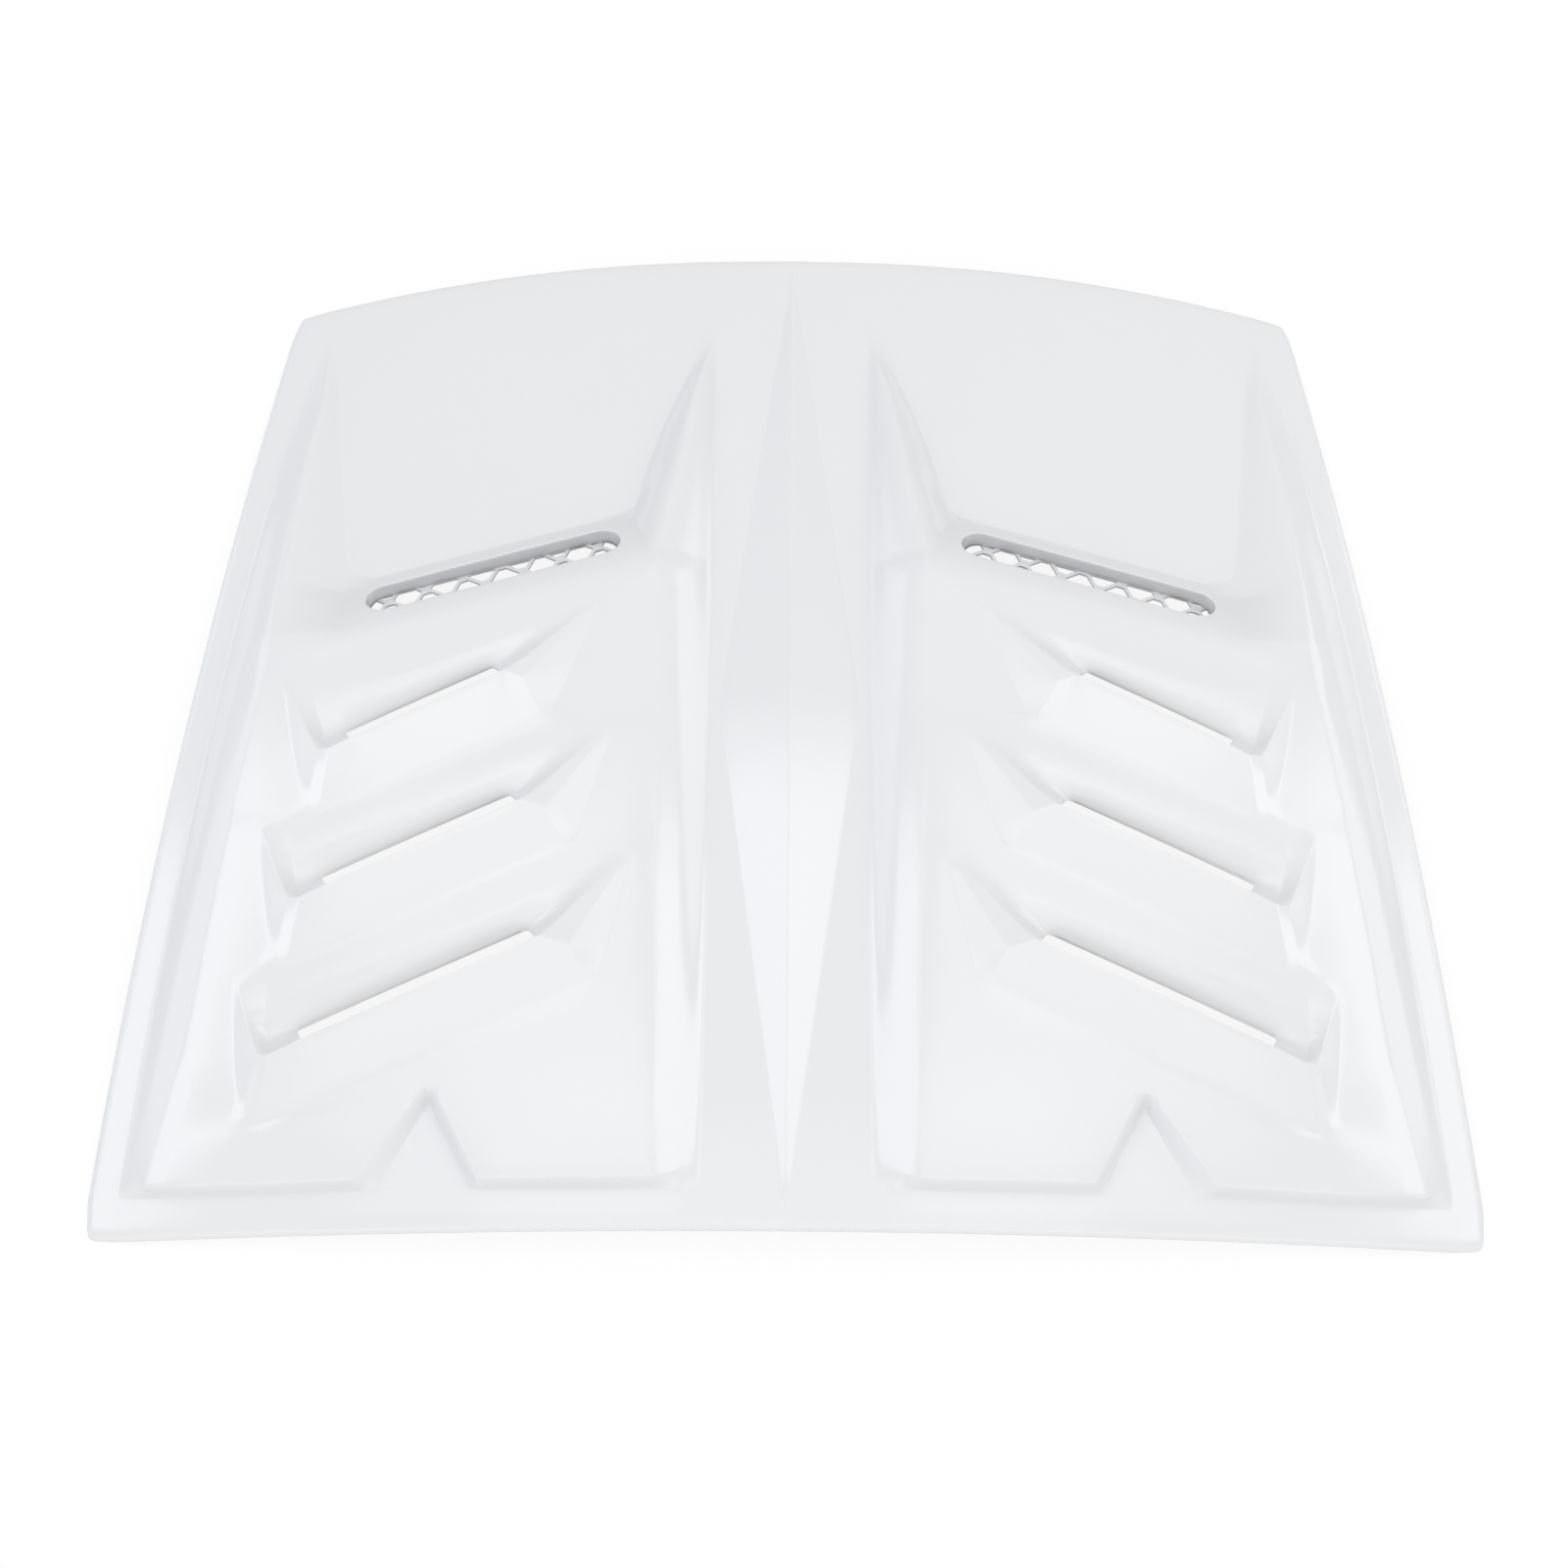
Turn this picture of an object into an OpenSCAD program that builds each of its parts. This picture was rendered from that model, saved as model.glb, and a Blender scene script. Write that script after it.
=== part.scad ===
// Bonnet vent panel: one moulded shell with two raised pods, and a grille strip under each pod's mouth.
// X runs across the car, Y forward and Z up. The panel is centred on X = 0, and its lowest rim is at Z = 0.

/* [Outline] */
// Width across the rear corners
rear_width = 1100; // [1090:2:1120]
// Width half way along
middle_width = 1022; // [1014:2:1040]
// Width across the front corners
front_width = 914; // [906:2:924]
// Length along the middle
length = 950; // [946:1:960]
// How far the front edge bows forward
front_bow = 52; // [44:1:60]
// How far the rear corners sweep back
rear_bow = 5; // [2:0.5:8]
// Radius of the rear corners
rear_corner = 18; // [14:1:24]
// Radius of the front corners
front_corner = 11; // [8:1:14]

/* [Section] */
// Wall of the moulding
wall = 3; // [2.4:0.1:3.4]
// Rise of the middle over the two sides
side_crown = 26; // [18:1:34]
// Rise of the middle over the front and rear
length_crown = 14; // [8:1:20]
// Depth of the rim that turns down all round
rim_depth = 5; // [4:0.2:7]
// Plan width of the rim's round
rim_round = 5; // [4:0.2:6]
// Flat border beside the pods
side_flange = 25; // [22:0.5:27]
// Flat border behind the pods
rear_flange = 32; // [29:0.5:34]

/* [Spear] */
// Width of the spear at its widest
spear_width = 119; // [100:1:124]
// Height of the spear's peak
spear_height = 20; // [12:1:26]
// Distance from the spear's tips to the panel's edges
spear_end = 15; // [12:0.5:20]

/* [Pods] */
// Distance from the middle to the foot of a pod's inner flank
pod_inner = 68; // [66:0.5:70]
// Height of a pod at its rear end
pod_rear_height = 12; // [9:0.5:15]
// Height of a pod at the lip of its mouth
pod_front_height = 29; // [24:0.5:34]
// Plan width of a pod's inner flank
inner_flank = 40; // [36:1:43]
// Plan width of a pod's outer flank
outer_flank = 35; // [33:0.5:38]
// Plan width of a pod's rear wall
rear_run = 4.6; // [3.5:0.1:6]

/* [Mouths] */
// Distance from the middle to the centre of a mouth's slot
slot_across = 256.5; // [254:0.5:259]
// Distance forward to the centre of a mouth's slot
slot_forward = 117; // [115:0.5:119]
// Length of the slot
slot_length = 228; // [220:1:232]
// Width of the slot
slot_width = 34; // [30:0.5:35]
// How far the grille lies below the flat floor of the mouth
slot_recess = 9; // [7:0.5:14]
// Sweep of the slot and of the mouth's lip, in degrees
mouth_sweep = 16; // [15.5:0.1:16.5]
// Plan width of the ramp from the flat floor to the lip
ramp_run = 71; // [69:0.5:73]

/* [Louvres] */
// Height of a louvre's lip over the pod
lip_height = 8; // [5:0.5:10]
// Depth of the dip in front of a louvre's slot
dip_depth = 8; // [5:0.5:10]
// Plan width of a louvre's slot
slot_gap = 18; // [15:0.5:20]
// Distance from one louvre to the next at the inner end
louvre_pitch_inner = 118; // [117:0.5:119]
// Distance from one louvre to the next at the outer end
louvre_pitch_outer = 135; // [134:0.5:136]

/* [Washer notches] */
// Distance from the middle to a notch's point
notch_across = 283; // [278:0.5:288]
// Length of a notch
notch_length = 70; // [60:1:74]
// Width of a notch's floor at the rear
notch_width = 76; // [64:1:80]

/* [Grilles] */
// Thickness of a grille strip
grille_thickness = 2.4; // [2:0.2:4]
// Width of a strand
strand = 3; // [2.4:0.1:3.4]
// Distance between cells along a strip
cell_pitch = 34; // [32:0.5:36]
// Draft of the collar round each slot
collar_draft = 1.6; // [1:0.1:2.4]
// Half the distance between rows of cells
cell_rise = 12.6; // [11.6:0.1:13.6]
// Turn of the mesh in its strip, in degrees
mesh_turn = 4.3; // [3:0.1:5.5]

/* [Hidden] */

louvres = 3;
half_rear = rear_width / 2;
half_middle = middle_width / 2;
half_front = front_width / 2;
front_edge = length / 2;
corner_y = front_edge - front_bow;

function lerp(a, b, t) = a + (b - a) * t;
function clamp(v, low, high) = min(max(v, low), high);
function smooth(t) = let (c = clamp(t, 0, 1)) c * c * (3 - 2 * c);
function unit(v) = v / norm(v);

// The side is the parabola through its widths at the rear, the middle and the front corners
function side_x(y) =
    let (a = y + front_edge, b = y, c = y - corner_y)
    half_rear * b * c / (front_edge * (front_edge + corner_y))
    - half_middle * a * c / (front_edge * corner_y)
    + half_front * a * b / ((corner_y + front_edge) * corner_y);

function front_y(x) = front_edge - front_bow * pow(abs(x) / half_front, 2.3);
function rear_y(x) = -front_edge - rear_bow * pow(x / half_rear, 2);

// The plain panel: crowned across and along, with its four corners at one level
function base_z(x, y) =
    let (u = x / side_x(y), v = y > 0 ? y / front_y(x) : y / rear_y(x))
    side_crown * (1 - u * u) + length_crown * (1 - v * v);

// Height of a pod's top over the plain panel
pod_rear = -front_edge + rear_flange + rear_run;
lip_y = slot_forward - 40;
function pod_h(y) = lerp(pod_rear_height, pod_front_height, clamp((y - pod_rear) / (lip_y - pod_rear), 0, 1.1));

// Plan lines of a pod
function inner_crest_x(y) = pod_inner + inner_flank - 4 + 8 * smooth((y - pod_rear) / (lip_y - pod_rear));
function outer_crest_x(y) = side_x(y) - side_flange - outer_flank;

// Columns of the surface, from the middle outwards
FOOT = 2;
FLANK = 3;
CREST = 4;
SOFT = 5;
FACET = 6;
SLOT_IN = 9;
SLOT_OUT = 14;
OUTER_FACET = 17;
OUTER_SOFT = 18;
OUTER_CREST = 19;
OUTER_FOOT = 21;
EDGE = 24;

// Rows of the surface, from the rear forwards
REAR_FOOT = 3;
NOTCH_POINT = 6;
LOUVRE_ROWS = 7;
FIRST_LOUVRE = 8;
POD_FRONT = FIRST_LOUVRE + louvres * LOUVRE_ROWS;
LIP = POD_FRONT + 1;
RAMP = LIP + 1;
SLOT_REAR = RAMP + 1;
SLOT_FRONT = SLOT_REAR + 6;
FLOOR = SLOT_FRONT + 1;
HORN_ROWS = 6;
HORN_TIP = FLOOR + HORN_ROWS;
FRONT = HORN_TIP + 4;

// A point on the surface is [across, forward, height over the plain panel]
function flat_at(x, y) = [x, y, 0];
function top_at(p, extra = 0) = [p.x, p.y, pod_h(p.y) + extra];

// Rear rows: the border, the rear wall and the washer notch
function notch_x(side, y, floor) =
    let (
        t = clamp((pod_rear - rear_run + notch_length - y) / notch_length, 0, 1),
        half = lerp(1.5, notch_width / 2, t)
    )
    notch_across + side * (half + (floor ? 0 : side < 0 ? 6 : 6 + 12 * t));

function notch_row(y, y_out, top, notched) =
    let (
        h = top ? pod_h(y) : 0,
        xs = concat(
            [128, 140, 168, 200],
            [notch_x(-1, y, false), notch_x(-1, y, true), notch_x(1, y, true), notch_x(1, y, false)],
            [386, 414, 428, 442])
    )
    [for (k = [0 : 11])
        [xs[k], lerp(y, y_out, clamp((k - 7) / 1.5, 0, 1)), notched && (k == 5 || k == 6) ? 0 : h]];

// Louvres: number 0 is the front one, and each point moves by its own step from one louvre to the next
function louvre_in(x, y, step, lag, n) = [x - step * n, y - (louvre_pitch_inner + lag) * n];
function louvre_out(x, y, step, n) = [x + step * n, y - louvre_pitch_outer * n];
function tip_in(n) = louvre_in(162, 72, 17, 0, n);
function tip_out(n) = louvre_out(429, 2, 9, n);
function lip_in(n) = louvre_in(242, -2, 20, 3, n);
function lip_out(n) = louvre_out(381, -70, 14, n);
function corner_in(n) = louvre_in(224, -5, 24, 4, n);
function heel_in(n) = louvre_in(199, -37, 24, -1, n);
function heel_out(n) = louvre_out(387, -124, 16, n);

function lip_line(n) =
    let (a = lip_in(n), b = lip_out(n))
    [for (t = [0, 0.2, 0.4, 0.6, 0.8, 1]) lerp(a, b, t * 0.88)];

// The dip's bottom edge lies ahead of the lip by the slot's gap
function ahead(n) = let (d = unit(lip_out(n) - lip_in(n))) [-d.y, d.x] * slot_gap;
function dip_h(q) = -dip_depth * (1 - sin(90 * q));

// Rows of one louvre: 0 heel, 1 and 2 wedge and lip, 3 the slot's far edge, 4 and 5 the dip, 6 the tips
function louvre_row(n, r) =
    let (
        heel = heel_in(n),
        heel_o = heel_out(n),
        heel_line = [for (t = [0.12, 0.23, 0.36, 0.49, 0.62, 0.75, 0.88]) lerp(heel, heel_o, t)],
        tip = tip_in(n),
        tip_o = tip_out(n),
        foot_o = heel_o + [13, 4],
        edge_o = lip_out(n) + [11, 1],
        line = lip_line(n),
        dip_line = [for (p = line) p + ahead(n)],
        tip_line = [for (t = [0.1, 0.24, 0.38, 0.52, 0.66, 0.8, 0.91]) lerp(tip, tip_o, t) - [0, 17 * sin(180 * pow(t, 1.5))]]
    )
    r == 0 ? concat([top_at(heel), top_at(lerp(heel, heel_o, 0.03))],
                    [for (p = heel_line) top_at(p)],
                    [top_at(heel_o), top_at(heel_o + [10, 3]), top_at(foot_o)])
    : r == 1 ? let (a = louvre_row(n, 0), b = louvre_row(n, 2))
        [for (k = [0 : 11]) lerp(a[k], b[k], 0.5)]
    : r == 2 ? concat([top_at(lerp(heel, tip, 0.3)), top_at(corner_in(n), lip_height * 0.9)],
                      [top_at(line[0] + [-3, 1.5], lip_height)],
                      [for (p = line) top_at(p, lip_height)],
                      [top_at(lip_out(n), lip_height), top_at(edge_o, lip_height * 0.7),
                       top_at(lerp(foot_o, tip_o, 0.42))])
    : let (
        q = [0, 0.4, 0.75, 1][r - 3],
        ridge = [0.2, 0.48, 0.78, 1][r - 3],
        along = [0.48, 0.68, 0.87, 1][r - 3]
    )
    concat(
        [top_at(lerp(heel, tip, along)),
         top_at(lerp(corner_in(n), tip + [3, -1], ridge), lip_height * 0.9 * (1 - ridge)),
         top_at(lerp(line[0] + [-3, 1.5], tip + [8, -3], ridge), lip_height * (1 - ridge))],
        [for (k = [0 : 5]) top_at(lerp(dip_line[k], tip_line[k], q), dip_h(q))],
        [top_at(lerp(lip_out(n) + ahead(n) * 0.9, tip_line[6], q), dip_h(q) * 0.8),
         top_at(lerp(edge_o, tip_o + [-3, -1], ridge), lip_height * 0.7 * (1 - ridge)),
         top_at(lerp(foot_o, tip_o, lerp(0.52, 1, (r - 3) / 3)))]);

// Mouth: local frame along the slot
along = [cos(mouth_sweep), -sin(mouth_sweep)];
across = [sin(mouth_sweep), cos(mouth_sweep)];
slot_mid = [slot_across, slot_forward];
slot_half = slot_length / 2 - slot_width / 2;
function at_slot(s, n) = slot_mid + along * s + across * n;

// The ramp rises from the flat floor's edge to the lip
floor_n = slot_width / 2 + 14;
function ramp_n(p) = (floor_n - (p - slot_mid) * across) / ramp_run;
function ramp_h(p) = pod_front_height * (1 - pow(1 - clamp(ramp_n(p), 0, 1), 1.3));
function ramp_at(p) = [p.x, p.y, ramp_h(p)];

// The collar's lower ring lies in one plane, which tilts with the panel's crown
ring_drop = (base_z(slot_across - 100, slot_forward + 28) - base_z(slot_across + 100, slot_forward - 28)) / 208;
ring_z = base_z(slot_across, slot_forward) - slot_recess;
function ring_level(p) = ring_z - ring_drop * ((p - slot_mid) * along);
hole_radius = slot_width / 2 - collar_draft;
function end_point(side, radius, angle) =
    at_slot(side * (slot_half + radius * cos(angle)), radius * sin(angle));

// Points of one slot row between the flat strips at its two ends
function slot_row(r) =
    let (
        angle = [-90, -78, -42, 0, 42, 78, 90][r],
        inner = clamp(-90 + 45 * (r - 1), -90, 90),
        open = r > 0 && r < 6,
        a = end_point(-1, slot_width / 2, angle),
        b = end_point(1, slot_width / 2, angle),
        c = open ? end_point(-1, hole_radius, inner) : at_slot(-slot_half + 4, slot_width / 2 * sign(r - 3)),
        d = open ? end_point(1, hole_radius, inner) : at_slot(slot_half - 4, slot_width / 2 * sign(r - 3)),
        ring = [for (t = [0, 0.33, 0.67, 1]) lerp(c, d, t)]
    )
    concat([ramp_at(a)],
           [for (p = ring) open ? [p.x, p.y, ring_level(p) - base_z(p.x, p.y)] : ramp_at(p)],
           [ramp_at(b)]);

// A row of the mouth beside its slot: strips at the inner and outer ends, joined to the middle points
function mouth_row(middle, n) =
    let (
        a = middle[0],
        b = middle[5],
        facet = at_slot(-slot_length / 2 - 17, n),
        outer = at_slot(slot_length / 2 + 32 - 14 * smooth((n + 15) / 44), n - 2)
    )
    concat([ramp_at(facet), ramp_at(lerp(facet, [a.x, a.y], 0.25)), ramp_at(lerp(facet, [a.x, a.y], 0.5))],
           middle,
           [ramp_at(lerp([b.x, b.y], outer, 0.5)), ramp_at(lerp([b.x, b.y], outer, 0.75)), ramp_at(outer)]);

function straight_row(n, half) = [for (t = [-1, -0.94, -0.33, 0.33, 0.94, 1]) ramp_at(at_slot(t * half, n))];

// The flat floor between the horns: its rear edge has a rounded corner at each end
function floor_row() =
    concat([flat_at(134, 199), flat_at(136.5, 190), flat_at(144, 183)],
           [for (p = straight_row(floor_n, slot_half + 4)) flat_at(p.x, p.y)],
           [flat_at(371, 121.5), flat_at(382, 124.5), flat_at(388, 135)]);

// Horns: the forks of the pod's front end, which run out to a point
horn_tip_in = [80, 348];
horn_tip_out = [426, 380];
function horn_row(t) =
    let (
        a = [lerp(134, horn_tip_in.x + 5, pow(t, 1.25)), lerp(199, horn_tip_in.y, t)],
        b = [lerp(388, horn_tip_out.x - 9, t), lerp(135, horn_tip_out.y, t)]
    )
    [for (k = [0 : 11]) let (p = lerp(a, b, k / 11)) flat_at(p.x, p.y)];

// Middle part of each row: the twelve columns from the inner facet to the outer facet
function middle_part(i) =
    i <= REAR_FOOT ? notch_row(pod_rear - rear_run, pod_rear - rear_run - 3, false, false)
    : i == 4 ? notch_row(pod_rear, pod_rear - 3, true, true)
    : i == 5 ? notch_row(pod_rear + notch_length * 0.45, lerp(pod_rear, heel_out(2).y, 0.35), true, true)
    : i == NOTCH_POINT ? notch_row(pod_rear + notch_length - rear_run, lerp(pod_rear, heel_out(2).y, 0.65), true, true)
    : i == NOTCH_POINT + 1 ? notch_row(pod_rear + notch_length + 3, lerp(pod_rear, heel_out(2).y, 0.85), true, false)
    : i < POD_FRONT ? louvre_row(louvres - 1 - floor((i - FIRST_LOUVRE) / LOUVRE_ROWS), (i - FIRST_LOUVRE) % LOUVRE_ROWS)
    : i == POD_FRONT ? let (a = louvre_row(0, 6), b = middle_part(LIP)) [for (k = [0 : 11]) top_at(lerp(a[k], b[k], 0.5))]
    : i == LIP ? mouth_row(straight_row(floor_n - ramp_run, slot_half + 6), floor_n - ramp_run)
    : i == RAMP ? mouth_row(straight_row(-slot_width / 2 - 11, slot_half + 3), -slot_width / 2 - 11)
    : i <= SLOT_FRONT ? mouth_row(slot_row(i - SLOT_REAR), [-26, -20, -10, 0, 10, 22, 29][i - SLOT_REAR])
    : i == FLOOR ? floor_row()
    : i <= HORN_TIP ? horn_row((i - FLOOR) / HORN_ROWS)
    : i == HORN_TIP + 1 ? [for (p = horn_row(1)) flat_at(p.x, lerp(p.y, front_y(p.x) - rim_round, 0.5))]
    : let (inset = [rim_round, 1.5, 0][i - HORN_TIP - 2]) [for (p = horn_row(1)) flat_at(p.x, front_y(p.x) - inset)];

// Where a row meets the middle: rows are spread evenly on each side of the spear's widest point
SPEAR_ROW = FIRST_LOUVRE + 2 * LOUVRE_ROWS + 2;
spear_y = -14;
function middle_y(i) =
    i < 3 ? -front_edge + [0, 1.5, rim_round][i]
    : i > FRONT - 3 ? front_edge - [0, 1.5, rim_round][FRONT - i]
    : i <= SPEAR_ROW ? lerp(pod_rear - rear_run, spear_y, (i - 3) / (SPEAR_ROW - 3))
    : lerp(spear_y, front_edge - spear_end, (i - SPEAR_ROW) / (FRONT - 3 - SPEAR_ROW));
function spear_share(y) =
    1 - (y < spear_y ? (spear_y - y) / (spear_y + front_edge - spear_end) : (y - spear_y) / (front_edge - spear_end - spear_y));

// How tall a horn's crest stands, from the lip to its tip
function horn_share(y, from, to) = pow(clamp((to - y) / (to - from), 0, 1), 0.85);

// One whole row on the right half, as [across, forward, height]
function half_row(i) =
    let (
        mid = middle_part(i),
        pod = i > REAR_FOOT && i < POD_FRONT,
        horn = i > FLOOR && i <= HORN_TIP,
        beyond = i > HORN_TIP,
        y0 = middle_y(i),
        a = mid[0],
        b = mid[11],
        // Inner side
        t_in = clamp((a.y - lip_y - 40) / (horn_tip_in.y - lip_y - 40), 0, 1),
        crest_x = i <= FLOOR - 8 ? inner_crest_x(a.y) : lerp(pod_inner + inner_flank + 4, horn_tip_in.x, pow(t_in, 1.1)),
        foot_x = lerp(pod_inner, horn_tip_in.x - 5, smooth((t_in - 0.6) / 0.4)),
        crest_h = i <= REAR_FOOT || beyond ? 0
            : i <= LIP ? pod_h(a.y)
            : pod_front_height * horn_share(a.y, lip_y + 30, horn_tip_in.y),
        softness = smooth((a.y - pod_rear) / 300),
        // Behind a heel and ahead of a tip the rows stand apart, so that they never cross
        r = i >= FIRST_LOUVRE && i < POD_FRONT ? (i - FIRST_LOUVRE) % LOUVRE_ROWS : -1,
        apart = r < 0 ? 0 : [10, 7, 2, 0, 0, 3, 8][r],
        y_crest = lerp(a.y, y0, 0.1) + apart,
        y_foot = lerp(a.y, y0, 0.45),
        // Outer side
        b_y = b.y,
        t_out = clamp((b_y - 250) / (horn_tip_out.y - 250), 0, 1),
        side = side_x(b_y),
        o_crest = lerp(outer_crest_x(b_y) + 10 * smooth((b_y - 60) / 220), horn_tip_out.x - 1, pow(t_out, 2)),
        o_mid = lerp(side - side_flange - 16, horn_tip_out.x, pow(t_out, 1.7)),
        o_foot = lerp(side - side_flange, horn_tip_out.x + 3, pow(t_out, 2)),
        outer_h = i <= REAR_FOOT || beyond ? 0
            : i <= LIP ? pod_h(b_y)
            : pod_front_height * horn_share(b_y, lip_y - 40, horn_tip_out.y),
        // Narrow facet at the rear end of the outer crest
        sliver = pod ? clamp((-330 - b_y) / 110, 0, 1) : 0,
        o_soft = i < POD_FRONT ? lerp(lerp(b.x, o_crest, 0.72), o_crest - 2, sliver) : lerp(b.x, o_crest, 0.6)
    )
    concat(
        [[0, y0, beyond && i > FRONT - 4 || i < 3 ? 0 : spear_height * max(0, spear_share(y0))],
         [max(spear_width / 2 * spear_share(y0), 3), y0, 0],
         [foot_x, y_foot, 0],
         [lerp(foot_x, crest_x, 0.5), lerp(y_foot, y_crest, 0.5), crest_h * lerp(0.5, 0.62, softness)],
         [crest_x, y_crest, crest_h * lerp(1, 0.94, softness)],
         [lerp(crest_x, a.x, 0.45), lerp(y_crest, a.y, 0.45),
          i <= LIP ? crest_h : lerp(crest_h, a.z, horn ? 0.42 : 0.3)]],
        mid,
        [[o_soft, b_y, i <= LIP ? outer_h : lerp(b.z, outer_h, 0.62)],
         [o_crest + 15 * sliver, b_y, outer_h * lerp(0.92, 0.8, sliver)],
         [lerp(o_mid, side - side_flange - 9, sliver), b_y, outer_h * lerp(0.55, 0.36, sliver)],
         [o_foot, b_y, 0],
         [side - rim_round, b_y, 0],
         [side - 1.5, b_y, 0],
         [side, b_y, 0]]);

// Rounds the corners in plan, and bends the front and rear rows to the outline
function round_corner(p, rear) =
    let (
        r = rear ? rear_corner : front_corner,
        edge_y = rear ? rear_y(p.x) : front_y(p.x),
        cx = side_x(p.y) - r,
        cy = rear ? edge_y + r : edge_y - r,
        u = (p.x - cx) / r,
        v = (p.y - cy) / r * (rear ? -1 : 1)
    )
    u <= 0 || v <= 0 ? p
    : [cx + r * u * sqrt(1 - v * v / 2), cy + (rear ? -1 : 1) * r * v * sqrt(1 - u * u / 2), p.z];

function rim_row(i, p) =
    i < 3 ? [p.x, rear_y(p.x) + [0, 1.5, rim_round][i], p.z]
    : i > FRONT - 3 ? [p.x, front_y(p.x) - [0, 1.5, rim_round][FRONT - i], p.z]
    : p;

// How far the rim has turned down at a row and a column
function rim_drop(i, j) =
    let (k = min(i, FRONT - i, EDGE - j))
    k > 1 ? 0 : k == 1 ? 1.5 : rim_depth;

half_surface = [for (i = [0 : FRONT])
    let (row = half_row(i))
    [for (j = [0 : EDGE])
        let (
            p = rim_row(i, row[j]),
            q = i < 8 ? round_corner(p, true) : i > HORN_TIP ? round_corner(p, false) : p
        )
        [q.x, q.y, base_z(q.x, q.y) + q.z - rim_drop(i, j)]]];

lowest = min([for (row = half_surface, p = row) p.z]);

// The whole top surface, from the left edge to the right
top_grid = [for (row = half_surface)
    concat([for (j = [EDGE : -1 : 1]) [-row[j].x, row[j].y, row[j].z - lowest]],
           [for (p = row) [p.x, p.y, p.z - lowest]])];

LAST = 2 * EDGE;
function column(j) = abs(j - EDGE);
function in_ring(i, j) =
    i > SLOT_REAR && i < SLOT_FRONT && column(j) > SLOT_IN && column(j) < SLOT_OUT;

// Lower surface: each point moves down its normal by the wall
function low_point(i, j) =
    let (
        p = top_grid[i][j],
        du = top_grid[i][min(j + 1, LAST)] - top_grid[i][max(j - 1, 0)],
        dv = top_grid[min(i + 1, FRONT)][j] - top_grid[max(i - 1, 0)][j],
        n = unit(cross(du, dv)),
        rim = i == 0 || i == FRONT || j == 0 || j == LAST
    )
    rim ? p - wall * outwards(i, j)
    : in_ring(i, j) ? ring_low(p, j, true)
    : on_collar(i, j) ? ring_low(p, j, false)
    : p - wall * n;

// Direction out of the panel at a point of its edge
function outwards(i, j) =
    let (
        side = j == 0 || j == LAST,
        in_j = j == 0 ? 1 : LAST - 1,
        a = !side ? top_grid[i][j - 1] : i == 0 ? top_grid[0][in_j] : top_grid[i - 1][j],
        b = !side ? top_grid[i][j + 1] : i == FRONT ? top_grid[FRONT][in_j] : top_grid[i + 1][j],
        d = unit([b.y - a.y, a.x - b.x]),
        p = top_grid[i][j]
    )
    (d.x * p.x + d.y * p.y < 0 ? -1 : 1) * [d.x, d.y, 0];

// The collar's lower ring keeps one level, so the grille's face lies flat on it
function on_collar(i, j) =
    i >= SLOT_REAR && i <= SLOT_FRONT && column(j) >= SLOT_IN && column(j) <= SLOT_OUT;
function ring_low(p, j, level) =
    let (
        s = sign(j - EDGE),
        q = [abs(p.x), p.y],
        l = (q - slot_mid) * along,
        c = at_slot(clamp(l, -slot_half, slot_half), 0),
        gap = q - c,
        out = norm(gap) < 0.01 ? q : q + unit(gap) * wall,
        lift = level ? ring_level(out) - lowest : p.z - wall
    )
    [s * out.x, out.y, lift];

low_grid = [for (i = [0 : FRONT]) [for (j = [0 : LAST]) low_point(i, j)]];

// Cells left open: the louvre slots and the mouth slots
function louvre_slot(i, c) =
    i > FIRST_LOUVRE && i < POD_FRONT && (i - FIRST_LOUVRE) % LOUVRE_ROWS == 2 && c >= SLOT_IN && c < SLOT_OUT;
function mouth_slot(i, c) =
    i > SLOT_REAR && i < SLOT_FRONT - 1 && c > SLOT_IN && c < SLOT_OUT - 1;
function open_cell(i, j) =
    let (c = j < EDGE ? EDGE - 1 - j : j - EDGE)
    i < 0 || i >= FRONT || j < 0 || j >= LAST || louvre_slot(i, c) || mouth_slot(i, c);

ROW = LAST + 1;
COUNT = (FRONT + 1) * ROW;
function top_id(i, j) = i * ROW + j;
function low_id(i, j) = COUNT + i * ROW + j;

// Two triangles per cell, split along the diagonal that mirrors across the middle
function cell_faces(a, b, c, d, left) = left ? [[a, b, d], [b, c, d]] : [[a, b, c], [a, c, d]];
function wall_faces(a, b) = [[a, b, a + COUNT], [b, b + COUNT, a + COUNT]];

shell_faces = [for (i = [0 : FRONT - 1], j = [0 : LAST - 1])
    if (!open_cell(i, j))
        let (
            a = top_id(i, j),
            b = top_id(i + 1, j),
            c = top_id(i + 1, j + 1),
            d = top_id(i, j + 1),
            e = low_id(i, j),
            f = low_id(i, j + 1),
            g = low_id(i + 1, j + 1),
            h = low_id(i + 1, j)
        )
        each concat(
            cell_faces(a, b, c, d, j < EDGE),
            j < EDGE ? [[e, f, h], [f, g, h]] : [[e, f, g], [e, g, h]],
            open_cell(i - 1, j) ? wall_faces(a, d) : [],
            open_cell(i + 1, j) ? wall_faces(c, b) : [],
            open_cell(i, j - 1) ? wall_faces(b, a) : [],
            open_cell(i, j + 1) ? wall_faces(d, c) : [])];

module vent_panel() {
    color([0.93, 0.94, 0.95])
        polyhedron(points = [for (grid = [top_grid, low_grid], row = grid, p = row) p], faces = shell_faces, convexity = 8);
}

// Grille strip: a flat obround plate with a honeycomb of openings, bonded under the collar. Both strips are cut
// from one mesh, and each starts at its own point of it
module obround(half, radius, height) {
    translate([0, 0, -height]) {
        for (side = [-1, 1])
            translate([side * half, 0, 0])
                cylinder(r = radius, h = height, $fn = 48);
        translate([-half, -radius, 0])
            cube([2 * half, 2 * radius, height]);
    }
}

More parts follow.
